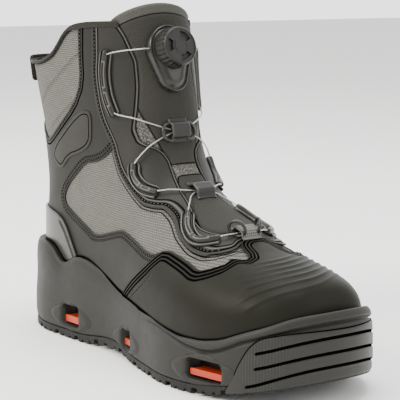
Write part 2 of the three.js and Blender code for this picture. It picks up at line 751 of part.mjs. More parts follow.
// Half a crossing: from a guide's mouth over the form to the tunnel under a strap
function laceHalf(end, bridge, lift) {
  const middleLift = lift + tunnelDepth / 2;
  const { front, out } = frontAxes(bridge);
  const middle = front.clone().addScaledVector(out, middleLift);
  const section = sectionAt(bridge);
  const side = Math.sign(end.angle);
  const width = side > 0 ? section.medial : section.lateral;
  const mouth = side * Math.asin(((strapWidth / 2 + 1.5) / width) ** (section.frontPower / 2));
  const start = end.at.clone().addScaledVector(end.along, 2);
  const over = (share) => offLast(end.station + (bridge - end.station) * share,
    end.angle + (mouth - end.angle) * share, guideLift + (middleLift - guideLift) * share);
  return [end.at, start, over(0.3), over(0.65), offLast(bridge, mouth, middleLift), middle];
}

function lacePath(start, bridge, lift, finish) {
  const there = laceHalf(start, bridge, lift);
  const back = laceHalf(finish, bridge, lift).slice(0, -1).reverse();
  return new THREE.CatmullRomCurve3([...there, ...back], false, 'centripetal');
}

function crossingSolid(index, bridge) {
  const strands = sides.map(([, side]) => (
    tube(lacePath(guideEnd(index, side, true), bridge, bridgeLift, guideEnd(index + 1, -side, false)),
      laceRadius, 12, 5)));
  return strands[0].add(strands[1]);
}

function toeLaceSolid() {
  const path = lacePath(guideEnd(2, -1, true), toeLoopStation, toeLoopLift, guideEnd(2, 1, true));
  return tube(path, laceRadius, 12, 5);
}

function topLaceSolid(side, frame) {
  const start = guideEnd(0, side, false);
  const beside = (gap) => (
    new THREE.Vector3(side * (housingRadius + gap), 1, housingHeight * 0.6).applyMatrix4(frame));
  const after = start.at.clone().addScaledVector(start.along, guideRadius);
  const path = new THREE.CatmullRomCurve3([start.at, after, beside(guideRadius * 2), beside(fit)],
    false, 'centripetal');
  return tube(path, laceRadius, 6, 5);
}

// The finished group
const boot = new THREE.Group();

function place(name, body, [colour, roughness, metalness = 0]) {
  const { vertProperties, triVerts, numProp } = body.getMesh();
  const geometry = new THREE.BufferGeometry();
  const points = new Float32Array((vertProperties.length / numProp) * 3);
  for (let i = 0; i < points.length / 3; i += 1) {
    points.set(vertProperties.subarray(i * numProp, i * numProp + 3), i * 3);
  }
  geometry.setAttribute('position', new THREE.BufferAttribute(points, 3));
  geometry.setIndex(new THREE.BufferAttribute(new Uint32Array(triVerts), 1));
  geometry.computeVertexNormals();
  const material = new THREE.MeshStandardMaterial({ color: colour, roughness, metalness });
  const mesh = new THREE.Mesh(geometry, material);
  mesh.name = name;
  boot.add(mesh);
}

const frame = dialFrame();
place('upper', upperSolid(), paint.upper);
place('vamp_overlay', vampSolid(), paint.vamp);
place('heel_counter', counterSolid(), paint.counter);
place('heel_tab', heelTabSolid(), paint.strap);
place('midsole', midsoleSolid(), paint.midsole);
place('toe_bumper', bumperSolid(), paint.bumper);
place('outsole', outsoleSolid(), paint.outsole);
place('insole', insoleSolid(), paint.insole);
place('tongue', tongueSolid(), paint.tongue);
place('dial_housing', housingSolid(frame), paint.dial);
place('dial_knob', knobSolid(frame), paint.dial);
for (const port of ports) {
  for (const [sideName, side] of sides) {
    place(`outsole_plug_${port[0]}_${sideName}`, plugSolid(port, side), paint.plug);
  }
}
for (const [guideName, path] of laceGuides) {
  for (const [sideName, side] of sides) {
    place(`lace_guide_${guideName}_${sideName}`, guideSolid(path, side), paint.guide);
  }
}
for (const [strapName, station] of strapStations) {
  place(`tongue_strap_${strapName}`, bridgeSolid(station, bridgeLift), paint.strap);
}
place('toe_loop', bridgeSolid(toeLoopStation, toeLoopLift), paint.strap);
place('lace_cross_upper', crossingSolid(0, strapStations[0][1]), paint.lace);
place('lace_cross_lower', crossingSolid(1, strapStations[1][1]), paint.lace);
place('lace_toe', toeLaceSolid(), paint.lace);
for (const [sideName, side] of sides) {
  place(`lace_top_${sideName}`, topLaceSolid(side, frame), paint.lace);
}

// The origin goes to the middle of the boot's footprint, on the ground
boot.updateMatrixWorld(true);
const bounds = new THREE.Box3().setFromObject(boot);
const centre = bounds.getCenter(new THREE.Vector3());
for (const mesh of boot.children) mesh.position.set(-centre.x, -centre.y, -bounds.min.z);

export default boot;
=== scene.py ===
# Wading boot for the right foot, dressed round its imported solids.
# Shapes are worked out in millimetres from the ground up: X across, lateral side at -X, toe towards -Y.
import math

import bpy
import numpy as np
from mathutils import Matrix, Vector
from types import SimpleNamespace
from mathutils.bvhtree import BVHTree


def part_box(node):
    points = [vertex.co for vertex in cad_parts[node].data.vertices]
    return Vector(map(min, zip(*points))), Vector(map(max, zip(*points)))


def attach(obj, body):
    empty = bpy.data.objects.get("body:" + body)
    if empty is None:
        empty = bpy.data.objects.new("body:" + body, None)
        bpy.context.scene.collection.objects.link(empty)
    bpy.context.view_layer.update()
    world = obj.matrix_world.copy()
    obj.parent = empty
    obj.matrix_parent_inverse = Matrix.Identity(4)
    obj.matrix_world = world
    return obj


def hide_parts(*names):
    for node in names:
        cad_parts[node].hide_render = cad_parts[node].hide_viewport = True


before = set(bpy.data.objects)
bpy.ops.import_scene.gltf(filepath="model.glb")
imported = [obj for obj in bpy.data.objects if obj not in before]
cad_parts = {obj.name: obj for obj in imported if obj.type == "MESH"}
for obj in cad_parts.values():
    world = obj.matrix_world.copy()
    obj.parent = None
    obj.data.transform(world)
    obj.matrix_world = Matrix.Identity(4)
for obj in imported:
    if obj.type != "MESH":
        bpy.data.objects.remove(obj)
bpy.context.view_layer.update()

# Driving dimensions
SOLE_LENGTH = 322.0
BALL_WIDTH = 124.0
LAST_HEIGHT = 250.0
WALL = 2.8
FIT = 0.3
MESH_RECESS = 1.2
EYESTAY_RISE = 0.9
PATCH_RISE = 0.8
VAMP_THICKNESS = 1.2
RIDGE_RISE = 0.65
RIDGES_FROM = 104.5
RIDGES_TO = 142.0
RIDGE_PITCH = 6.2
COUNTER_THICKNESS = 1.8
LUG_DEPTH = 3.2
OUTSOLE_PLATE = 2.4
OUTSOLE_INSET = 0.7
TOE_SPRING = 16.0
HEEL_BEVEL = 4.0
ARCH_RISE = 4.0
PORT_DEPTH = 12.0
PLUG_RECESS = 2.5
PLUG_SHARE = 0.5
PLUG_FOOT = 0.09
GROOVE_PITCH = 25.0
GROOVE_WIDTH = 5.0
GROOVE_BEND = 12.0
GROOVE_OFFSET = 21.0
NOTCH_WIDTH = 2.4
NOTCH_SHARE = 0.55
GUIDE_GAP = 0.45
TAB_THICKNESS = 3.0
TAB_REACH = 31.0
TAB_LOW = 0.735
TAB_HIGH = 0.796
BUMPER_RISE = 1.0
TONGUE_BULGE = 0.5
TONGUE_TOP_FOOT = 226.0
TONGUE_TOP_RISE = 16.0
TONGUE_TOP_HALF = 36.0
DIAL_RADIUS = 14.4
DIAL_HEIGHT = 11.5
HOUSING_RADIUS = 17.0
HOUSING_TIP_RADIUS = 11.5
HOUSING_TIP_DROP = 18.0
HOUSING_HEIGHT = 6.0
GUIDE_RADIUS = 2.7
LACE_RADIUS = 0.5
GUIDE_MOUTH = 6
MOUTH_SHIFT = 2.4
STRAP_WIDTH = 15.0
STRAP_THICKNESS = 1.6
STRAP_FOOT = 3.5
TUNNEL_LENGTH = 9.0
TUNNEL_DEPTH = 3.4
STRAP_LIFT = 1.3
DIAL_STATION = 15.25

METRE = 0.001
knob_low, knob_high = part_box("dial_knob")
SHIFT = np.array([
    (knob_low.x + knob_high.x) / 2 / METRE,
    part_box("midsole")[1].y / METRE - SOLE_LENGTH / 2,
    0.0,
])
ACROSS = np.array([1.0, 0.0, 0.0])

# The last, as sections that fan from the toe, over the instep, up the shaft.
# frontAt, frontHigh, backAt, backHigh, lateral, medial, split, frontPower, backPower
LAST_SECTIONS = np.array([
    [0.966, 0.208, 0.966, 0.176, 0.024, 0.040, 0.50, 2.2, 2.2],
    [0.960, 0.248, 0.960, 0.152, 0.145, 0.172, 0.60, 2.3, 3.0],
    [0.944, 0.280, 0.944, 0.136, 0.230, 0.258, 0.62, 2.4, 3.5],
    [0.910, 0.300, 0.910, 0.124, 0.312, 0.320, 0.64, 2.4, 4.0],
    [0.854, 0.316, 0.854, 0.112, 0.390, 0.367, 0.66, 2.3, 4.5],
    [0.786, 0.336, 0.786, 0.100, 0.435, 0.395, 0.68, 2.2, 5.0],
    [0.711, 0.368, 0.711, 0.096, 0.444, 0.403, 0.68, 2.2, 5.0],
    [0.637, 0.404, 0.630, 0.096, 0.427, 0.395, 0.68, 2.1, 5.0],
    [0.568, 0.448, 0.537, 0.100, 0.395, 0.371, 0.66, 2.1, 5.0],
    [0.519, 0.496, 0.422, 0.108, 0.355, 0.347, 0.62, 2.2, 4.5],
    [0.488, 0.552, 0.283, 0.120, 0.331, 0.335, 0.56, 2.4, 4.0],
    [0.472, 0.604, 0.152, 0.128, 0.323, 0.329, 0.53, 2.6, 3.6],
    [0.463, 0.656, 0.059, 0.168, 0.315, 0.329, 0.52, 2.7, 3.0],
    [0.457, 0.708, 0.034, 0.272, 0.315, 0.331, 0.52, 2.7, 2.5],
    [0.447, 0.760, 0.043, 0.400, 0.331, 0.339, 0.52, 2.7, 2.3],
    [0.438, 0.820, 0.028, 0.552, 0.347, 0.352, 0.52, 2.6, 2.2],
    [0.425, 0.888, 0.009, 0.700, 0.379, 0.367, 0.52, 2.5, 2.2],
    [0.413, 0.960, -0.009, 0.840, 0.403, 0.379, 0.52, 2.4, 2.2],
    [0.407, 1.000, -0.019, 0.928, 0.411, 0.387, 0.52, 2.4, 2.2],
])
LAST_STATION = len(LAST_SECTIONS) - 1

# share of SOLE_LENGTH from the heel, share of BALL_WIDTH
SOLE_OUTLINE = np.array([
    [0.000, 0.000], [0.035, -0.245], [0.130, -0.370], [0.260, -0.375], [0.420, -0.365],
    [0.560, -0.430], [0.680, -0.490], [0.800, -0.460], [0.900, -0.390], [0.966, -0.235],
    [1.000, 0.030], [0.972, 0.270], [0.885, 0.430], [0.750, 0.500], [0.600, 0.440],
    [0.450, 0.335], [0.280, 0.350], [0.130, 0.360], [0.035, 0.240],
])

# Side views: share of SOLE_LENGTH from the heel, share of LAST_HEIGHT
MIDSOLE_TOP = [
    [-0.02, 0.256], [0.065, 0.260], [0.134, 0.264], [0.174, 0.252], [0.202, 0.220], [0.220, 0.212],
    [0.242, 0.228], [0.276, 0.244], [0.314, 0.240], [0.360, 0.224], [0.407, 0.204], [0.453, 0.184],
    [0.509, 0.176], [0.584, 0.160], [0.655, 0.144], [0.724, 0.136], [0.789, 0.140], [0.839, 0.152],
    [0.885, 0.176], [0.935, 0.200], [0.972, 0.224], [1.020, 0.240],
]
COLLAR_LINE = [
    [-0.100, 0.796], [0.081, 0.792], [0.146, 0.796], [0.196, 0.814], [0.224, 0.835], [0.242, 0.860],
    [0.264, 0.888], [0.280, 0.900], [0.304, 0.910], [0.360, 0.914], [0.438, 0.916], [0.560, 0.916],
]
QUARTER_WINDOW = [
    [0.385, 0.571], [0.362, 0.541], [0.329, 0.523], [0.292, 0.516], [0.251, 0.476], [0.220, 0.442],
    [0.201, 0.410], [0.210, 0.382], [0.250, 0.360], [0.309, 0.332], [0.330, 0.319], [0.360, 0.322],
    [0.442, 0.352], [0.461, 0.350], [0.574, 0.308], [0.620, 0.334], [0.697, 0.315], [0.734, 0.300],
    [0.758, 0.310], [0.790, 0.320], [0.805, 0.350], [0.770, 0.410], [0.700, 0.420], [0.672, 0.348],
    [0.622, 0.368], [0.582, 0.404], [0.545, 0.427], [0.525, 0.425], [0.493, 0.429], [0.463, 0.452],
    [0.435, 0.478], [0.413, 0.506], [0.392, 0.550],
]
REAR_WINDOW = [
    [0.304, 0.960], [0.304, 0.894], [0.292, 0.708], [0.141, 0.558], [0.096, 0.588], [0.034, 0.624],
    [-0.100, 0.645], [-0.100, 0.960],
]
EYESTAY_AREA = [
    [0.339, 0.960], [0.342, 0.836], [0.335, 0.768], [0.342, 0.700], [0.357, 0.628], [0.385, 0.572],
    [0.392, 0.550], [0.413, 0.506], [0.435, 0.478], [0.463, 0.452], [0.493, 0.429], [0.525, 0.425],
    [0.545, 0.427], [0.582, 0.404], [0.622, 0.368], [0.672, 0.342], [0.719, 0.332], [0.745, 0.342],
    [0.765, 0.380], [0.745, 0.560], [0.560, 0.960],
]
ANKLE_AREA = [
    [0.150, 0.529], [0.288, 0.666], [0.327, 0.664], [0.320, 0.584], [0.304, 0.560], [0.275, 0.542],
    [0.236, 0.528], [0.198, 0.483],
]
VAMP_AREA = [
    [0.455, 0.100], [0.455, 0.163], [0.503, 0.220], [0.567, 0.276], [0.593, 0.306], [0.620, 0.334],
    [0.697, 0.315], [0.734, 0.300], [0.758, 0.310], [0.777, 0.324], [0.757, 0.340], [0.757, 0.420],
    [1.060, 0.420], [1.060, 0.100],
]
# Half of the vamp's rear edge seen from above: share of BALL_WIDTH, share of SOLE_LENGTH from the heel
VAMP_TOP_AREA = [
    [-0.120, 0.725], [0.032, 0.728], [0.072, 0.736], [0.097, 0.745], [0.109, 0.758], [0.121, 0.779],
    [0.137, 0.790], [0.165, 0.793], [0.210, 0.778], [0.274, 0.761], [0.500, 0.761], [0.500, 1.100],
    [-0.120, 1.100],
]
COUNTER_AREA = [
    [0.290, 0.150], [0.276, 0.200], [0.266, 0.234], [0.246, 0.271], [0.219, 0.316], [0.189, 0.348],
    [0.112, 0.360], [-0.050, 0.364], [-0.050, 0.150],
]
BUMPER_AREA = [
    [0.852, -0.040], [0.856, 0.036], [0.872, 0.060], [0.886, 0.104], [0.905, 0.150], [0.925, 0.176],
    [0.972, 0.192], [1.060, 0.200], [1.060, -0.040],
]
INSOLE_TOP = [
    [0.000, 0.190], [0.080, 0.172], [0.152, 0.162], [0.283, 0.152], [0.422, 0.140], [0.537, 0.132],
    [0.630, 0.128], [0.711, 0.128], [0.786, 0.132], [0.854, 0.144], [0.935, 0.162], [1.000, 0.180],
]

# Half widths along the last: station, share of BALL_WIDTH
THROAT_EDGE = [
    [6.0, 0.045], [6.15, 0.105], [6.4, 0.155], [6.8, 0.180], [7.2, 0.170], [7.6, 0.130],
    [8.0, 0.112], [8.6, 0.104], [9.3, 0.094], [9.8, 0.092], [10.25, 0.108], [10.6, 0.142],
    [10.95, 0.182], [11.35, 0.208], [12.1, 0.218], [13.0, 0.202], [14.0, 0.190], [15.0, 0.188],
    [16.0, 0.226], [17.0, 0.290], [18.0, 0.320],
]
TONGUE_EDGE = [
    [5.8, 0.120], [6.4, 0.215], [7.3, 0.220], [8.6, 0.175], [9.6, 0.170], [10.6, 0.190],
    [11.4, 0.240], [12.6, 0.250], [14.0, 0.250], [15.5, 0.262], [17.0, 0.290], [18.0, 0.290],
]

# Openings in the midsole's side: from and to along the sole, low and high
PORTS = {
    "heel": [0.227, 0.294, 0.038, 0.098],
    "waist": [0.474, 0.522, 0.030, 0.082],
    "ball": [0.758, 0.848, 0.034, 0.086],
}
# Each groove: start along the sole, height there and height at the toe
BUMPER_GROOVES = [[0.900, 4.8, 9.6], [0.916, 15.6, 18.3], [0.917, 25.0, 27.6]]
LIP_CREASE = [
    [0.560, 0.146], [0.606, 0.146], [0.657, 0.140], [0.701, 0.131], [0.750, 0.119], [0.791, 0.114],
    [0.823, 0.119], [0.855, 0.134], [0.888, 0.155], [0.924, 0.170], [0.974, 0.197], [1.010, 0.212],
]

# Half widths, or places, against another measure, in millimetres
EYESTAY_TOE = [[0, -74], [11, -76.5], [16, -79], [22, -79.5], [28, -76.5], [34, -71], [44, -200]]
UPPER_PLATE = [[130, 4], [132, 11], [143, 15], [154, 19], [168, 24], [190, 33], [245, 36]]
LOWER_PLATE = [[60, 40], [100, 20], [112, 14], [120, 12.5], [124, 10], [125.5, 6]]
# Inward and down from the midsole's top edge
MIDSOLE_RIM = [[0.7, -0.25], [1.8, -0.1], [4.0, 0.9], [9.0, 4.0], [18.0, 9.0]]

# Seams: distance from the panel's edge, and the length from stitch to stitch
QUARTER_SEAMS = (1.7, 4.2)
EYESTAY_SEAM = 2.1
STITCH_PITCH = 2.6
# Station and degrees round the last
LACE_GUIDES = [
    ["shaft", [[15.7, 47], [15.0, 53], [14.2, 54], [13.25, 51]]],
    ["instep", [[10.6, 42], [10.1, 45], [9.5, 42], [8.9, 33]]],
    ["forefoot", [[7.55, 22], [7.0, 31], [6.45, 32], [6.05, 19]]],
]
STRAP_STATIONS = [["upper", 11.25], ["lower", 8.2]]
TOE_LOOP_STATION = 6.02
SIDES = [["lateral", -1.0], ["medial", 1.0]]


# Curves through table rows
def catmull_rom(rows, at):
    rows = np.asarray(rows, float)
    last = len(rows) - 1
    at = np.asarray(at, float)
    i = np.clip(np.floor(at).astype(int), 0, last - 1)
    f = (at - i)[..., None]
    a, b, c, d = (rows[np.clip(i + k, 0, last)] for k in (-1, 0, 1, 2))
    return 0.5 * (2 * b + (c - a) * f + (2 * a - 5 * b + 4 * c - d) * f ** 2
                  + (3 * b - a - 3 * c + d) * f ** 3)


def between(table, at):
    table = np.asarray(table, float)
    return np.interp(at, table[:, 0], table[:, 1])


def smooth_between(table, at, blur):
    """Table value with its corners rounded over a window of the key."""
    return sum(between(table, at + blur * k) for k in (-1, -0.5, 0, 0.5, 1)) / 5


def smoothstep(low, high, value):
    t = np.clip((value - low) / (high - low), 0, 1)
    return t * t * (3 - 2 * t)


def unit(v):
    return v / np.maximum(np.linalg.norm(v, axis=-1, keepdims=True), 1e-9)


def least(*values):
    return np.minimum.reduce(np.broadcast_arrays(*values))


def turns(count):
    """Angles once round, evenly spaced."""
    return np.linspace(0, 2 * math.pi, count, endpoint=False)


def signed(angle):
    return (angle + math.pi) % (2 * math.pi) - math.pi


def lengths(points):
    """The length along a line, at each of its points."""
    return np.concatenate([[0], np.cumsum(np.linalg.norm(np.diff(points, axis=0), axis=1))])


def sampled(points, at, keys=None):
    """Rows read off a line of points at lengths along it, or at other keys."""
    keys = lengths(points) if keys is None else keys
    return np.stack([np.interp(at, keys, column) for column in points.T], axis=-1)


def from_heel(share):
    return (0.5 - share) * SOLE_LENGTH


def side_shape(area, passes=2):
    """A side view outline in millimetres, its corners cut round."""
    shape = np.array([[from_heel(u), h * LAST_HEIGHT] for u, h in area])
    for _ in range(passes):
        after = np.roll(shape, -1, axis=0)
        shape = np.stack([shape * 0.8 + after * 0.2, shape * 0.2 + after * 0.8], axis=1).reshape(-1, 2)
    return shape


def top_shape(area):
    return np.array([[x * BALL_WIDTH, from_heel(u)] for x, u in area])


def inside(shape, y, z):
    """Distance to the outline, positive inside it."""
    point = np.stack([y, z], axis=-1)
    nearest = np.full(y.shape, 1e9)
    odd = np.zeros(y.shape, bool)
    for a, b in zip(shape, np.roll(shape, -1, axis=0)):
        along = b - a
        t = np.clip(((point - a) @ along) / max(along @ along, 1e-9), 0, 1)
        nearest = np.minimum(nearest, np.linalg.norm(point - a - t[..., None] * along, axis=-1))
        if a[1] != b[1]:
            crosses = (a[1] > z) != (b[1] > z)
            odd ^= crosses & (y < (b[0] - a[0]) * (z - a[1]) / (b[1] - a[1]) + a[0])
    return np.where(odd, nearest, -nearest)


# The last and what lies on it
def section(station):
    row = catmull_rom(LAST_SECTIONS, station)
    zero = np.zeros(row.shape[:-1])
    front = np.stack([zero, from_heel(row[..., 0]), row[..., 1] * LAST_HEIGHT], axis=-1)
    back = np.stack([zero, from_heel(row[..., 2]), row[..., 3] * LAST_HEIGHT], axis=-1)
    return front, back, row[..., 4] * BALL_WIDTH, row[..., 5] * BALL_WIDTH, row[..., 6:]


def last_point(station, angle):
    station, angle = np.broadcast_arrays(np.asarray(station, float), np.asarray(angle, float))
    front, back, lateral, medial, form = section(station)
    c, s = np.cos(angle), np.sin(angle)
    power = 2 / np.where(c >= 0, form[..., 1], form[..., 2])
    a = np.sign(c) * np.abs(c) ** power
    b = np.sign(s) * np.abs(s) ** power
    split = form[..., 0]
    along = np.where(a >= 0, split * (1 - a), split - (1 - split) * a)
    point = front + (back - front) * along[..., None]
    point[..., 0] = b * np.where(b >= 0, medial, lateral)
    return point


def last_normal(station, angle):
    station, angle = np.broadcast_arrays(np.asarray(station, float), np.asarray(angle, float))
    step = 0.02
    up = last_point(np.minimum(station + step, LAST_STATION), angle) - last_point(
        np.maximum(station - step, 0), angle)
    round_ = last_point(station, angle + step) - last_point(station, angle - step)
    return -unit(np.cross(up, round_))


def off_last(station, angle, offset):
    offset = np.asarray(offset, float)
    return last_point(station, angle) + last_normal(station, angle) * offset[..., None]


def front_axes(station):
    step = 0.3
    front = section(np.array(station))[0]
    up = unit(section(np.array(station + step))[0] - section(np.array(station - step))[0])
    return front, up, np.array([0.0, -up[2], up[1]])


def throat_distance(station, angle, x):
    """Distance from the throat's edge, positive on the upper."""
    half = smooth_between(THROAT_EDGE, station, 0.12) * BALL_WIDTH
    beyond = (6.0 - station) * 22.0
    return np.where(np.cos(angle) > 0, np.maximum(np.abs(x) - half, beyond), 60.0)


collar_shape = np.array([[from_heel(u), h * LAST_HEIGHT] for u, h in COLLAR_LINE])[::-1]


def collar_height(y):
    return smooth_between(collar_shape, y, 6.0)


# Meshes
pieces = {}


def in_scene(points):
    """Millimetres on the last as metres in the frame."""
    return ((np.asarray(points) + SHIFT) * METRE).tolist()


def linked(name, data):
    made = bpy.data.objects.new(name, data)
    bpy.context.scene.collection.objects.link(made)
    return made


def ray_tree(piece):
    mesh = piece.data
    return BVHTree.FromPolygons([v.co for v in mesh.vertices], [tuple(p.vertices) for p in mesh.polygons])


def turned_out(points, faces, facing):
    """The faces, reversed where the volume that they enclose has the wrong sign."""
    centred = np.asarray(points, float)
    centred = centred - centred.mean(axis=0)
    corners = np.array([(face[0], face[k], face[k + 1]) for face in faces for k in range(1, len(face) - 1)])
    a, b, c = (centred[corners[:, k]] for k in range(3))
    volume = np.einsum("ij,ij->i", a, np.cross(b, c)).sum()
    return [list(face)[::-1] for face in faces] if volume * facing < 0 else faces


def add_piece(name, points, faces, material, slot, fields=None, replaces=(), smooth=True, pad=None,
              facing=1.0):
    mesh = bpy.data.meshes.new(name)
    faces = turned_out(points, faces, facing)
    mesh.from_pydata(in_scene(points), [], faces)
    mesh.validate()
    mesh.update()
    for key, values in (fields or {}).items():
        attribute = mesh.attributes.new(key, "FLOAT", "POINT")
        attribute.data.foreach_set("value", np.asarray(values, np.float32))
    mesh.polygons.foreach_set("use_smooth", [smooth] * len(mesh.polygons))
    mesh.materials.append(material)
    piece = linked(name, mesh)
    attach(piece, "root")
    if replaces:
        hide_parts(*replaces)
    pieces[name] = piece
    return piece


def grid_faces(rows, columns, wrap):
    last = columns if wrap else columns - 1
    i, j = np.meshgrid(np.arange(rows - 1), np.arange(last), indexing="ij")
    k = (j + 1) % columns
    return np.stack([i * columns + j, i * columns + k, (i + 1) * columns + k, (i + 1) * columns + j],
                    axis=-1).reshape(-1, 4)


def end_faces(rows, columns):
    """The first ring's face and the last one's."""
    last = (rows - 1) * columns
    return [list(range(columns))[::-1], list(range(last, last + columns))]


def facing_out(data, faces):
    """The faces, all reversed if the first one looks against its normal."""
    a, b, c = (data[k, :3] for k in faces[0][:3])
    against = np.cross(b - a, c - a) @ data[faces[0][0], 3:6] < 0
    return [face[::-1] for face in faces] if against else faces


def with_fields(place, normal, *fields):
    """One row a point: its place, its normal and its field values."""
    columns = [place, np.broadcast_to(normal, place.shape)] + [field[..., None] for field in fields]
    data = np.concatenate(columns, axis=-1)
    return data.reshape(-1, data.shape[-1])


def clipped(data, faces, value):
    """Rows of data and the faces over them, cut off where the value falls below zero."""
    faces = np.asarray(faces)
    keep = value > 0
    count = keep[faces].sum(axis=1)
    whole = faces[count == faces.shape[1]].tolist()
    rows = list(data)
    made = {}

    def cut(a, b):
        key = (min(a, b), max(a, b))
        if key not in made:
            t = value[a] / (value[a] - value[b])
            made[key] = len(rows)
            rows.append(data[a] + t * (data[b] - data[a]))
        return made[key]

    for face in faces[(count > 0) & (count < faces.shape[1])].tolist():
        corners = []
        for a, b in zip(face, face[1:] + face[:1]):
            if keep[a]:
                corners.append(a)
            if keep[a] != keep[b]:
                corners.append(cut(a, b))
        if len(corners) >= 3:
            whole.append(corners)
    rows = np.array(rows)
    used = np.unique(np.fromiter((c for face in whole for c in face), int))
    index = np.full(len(rows), -1)
    index[used] = np.arange(len(used))
    index = index.tolist()
    return rows[used], [[index[c] for c in face] for face in whole]


def boundary_edges(faces):
    seen = {}
    for face in faces:
        for a, b in zip(face, face[1:] + face[:1]):
            if (b, a) in seen:
                del seen[(b, a)]
            else:
                seen[(a, b)] = True
    return list(seen)


def thickened(data, faces, thickness, bulge, rings, closed=True):
    """A sheet given its thickness inwards, its rim rounded outwards by the bulge."""
    points, normals = data[:, :3], data[:, 3:6]
    edges = boundary_edges(faces)
    outward = np.zeros_like(points)
    for a, b in edges:
        side = np.cross(points[b] - points[a], normals[a])
        side = side / max(np.linalg.norm(side), 1e-9)
        outward[a] += side
        outward[b] += side
    rim = sorted({v for edge in edges for v in edge})
    outward = unit(outward)
    thick = np.broadcast_to(thickness, (len(points),))
    rows = [data]
    offset = len(points)
    ring_of = [{v: v for v in rim}]
    for ring in range(1, rings + 1):
        turn = math.pi * ring / rings
        copy = data[rim].copy()
        copy[:, :3] += (-normals[rim] * (thick[rim] * (1 - math.cos(turn)) / 2)[:, None]
                        + outward[rim] * (bulge * math.sin(turn)))
        if ring == rings and closed:
            break
        rows.append(copy)
        ring_of.append({v: offset + i for i, v in enumerate(rim)})
        offset += len(rim)
    made = [list(face) for face in faces]
    if closed:
        under = data.copy()
        under[:, :3] -= normals * thick[:, None]
        rows.append(under)
        ring_of.append({v: offset + v for v in rim})
        made += [[offset + c for c in reversed(face)] for face in faces]
    for low, high in zip(ring_of, ring_of[1:]):
        made += [[low[b], low[a], high[a], high[b]] for a, b in edges]
    return np.concatenate(rows), made


def add_shell(name, data, faces, thickness, bulge, rings, material, slot, fields=(), **more):
    """A closed piece made from a sheet, whose rows hold the fields' values after the normal."""
    rows, faces = thickened(data, faces, thickness, bulge, rings)
    values = {key: rows[:, 6 + i] for i, key in enumerate(fields)}
    return add_piece(name, rows[:, :3], faces, material, slot, values, **more)


def last_sheet(name, stations, angles, offset, value, thickness, material, slot, fields=None,
               bulge=0.25, rings=3, closed=False, **more):
    """A sheet that follows the last, trimmed where its value is below zero.

    The offset is a number or a function of station and angle. Without thickness the sheet faces inwards.
    """
    s, a = np.meshgrid(stations, angles, indexing="ij")
    wrap = bool(abs(angles[-1] - angles[0]) > math.pi * 1.9)
    place = off_last(s, a, offset(s, a) if callable(offset) else offset)
    surface = SimpleNamespace(s=s, a=a, x=place[..., 0], y=place[..., 1], z=place[..., 2])
    columns = {key: make(surface) for key, make in (fields or {}).items()}
    data = with_fields(place, last_normal(s, a), *columns.values())
    rows, kept = clipped(data, facing_out(data, grid_faces(*s.shape, wrap)), value(surface).reshape(-1))
    if thickness:
        rows, kept = thickened(rows, kept, thickness, bulge, rings, closed)
    else:
        kept = [face[::-1] for face in kept]
    values = {key: rows[:, 6 + i] for i, key in enumerate(columns)}
    return add_piece(name, rows[:, :3], kept, material, slot, values,
                     facing=1.0 if thickness else -1.0, **more)


def sweep(name, path, normals, profile, material, slot, **more):
    """A closed profile of (across, out) points carried along a path, shut at both ends."""
    along = unit(np.gradient(path, axis=0))
    across = unit(np.cross(along, normals))
    out = unit(np.cross(across, along))
    profile = np.broadcast_to(profile, (len(path),) + np.shape(profile)[-2:])
    points = path[:, None] + across[:, None] * profile[..., :1] + out[:, None] * profile[..., 1:]
    rows, columns = points.shape[:2]
    faces = grid_faces(rows, columns, True).tolist() + end_faces(rows, columns)
    values = {"across": profile[..., 0].reshape(-1), "run": np.repeat(lengths(path), columns)}
    return add_piece(name, points.reshape(-1, 3), faces, material, slot, values, **more)


def curve_through(points, count):
    """Centripetal curve through points, sampled evenly."""
    points = np.asarray(points, float)
    points = np.concatenate([[2 * points[0] - points[1]], points, [2 * points[-1] - points[-2]]])

    def mixed(a, b, start, end, at):
        return (end - at) / (end - start) * a + (at - start) / (end - start) * b

    made = []
    for four in zip(points, points[1:], points[2:], points[3:]):
        t = [0.0]
        for a, b in zip(four, four[1:]):
            t.append(t[-1] + max(np.linalg.norm(b - a), 1e-6) ** 0.5)
        for at in np.linspace(t[1], t[2], 16, endpoint=False):
            pairs = [mixed(four[i], four[i + 1], t[i], t[i + 1], at) for i in range(3)]
            threes = [mixed(pairs[i], pairs[i + 1], t[i], t[i + 2], at) for i in range(2)]
            made.append(mixed(*threes, t[1], t[2], at))
    made = np.array(made + [points[-2]])
    return sampled(made, np.linspace(0, lengths(made)[-1], count))


def map_range(tree, numbers, kind="LINEAR"):
    """A node that carries a value from one range to another."""
    node = tree.nodes.new("ShaderNodeMapRange")
    node.interpolation_type = kind
    for socket, number in zip(("From Min", "From Max", "To Min", "To Max"), numbers):
        node.inputs[socket].default_value = number
    return node


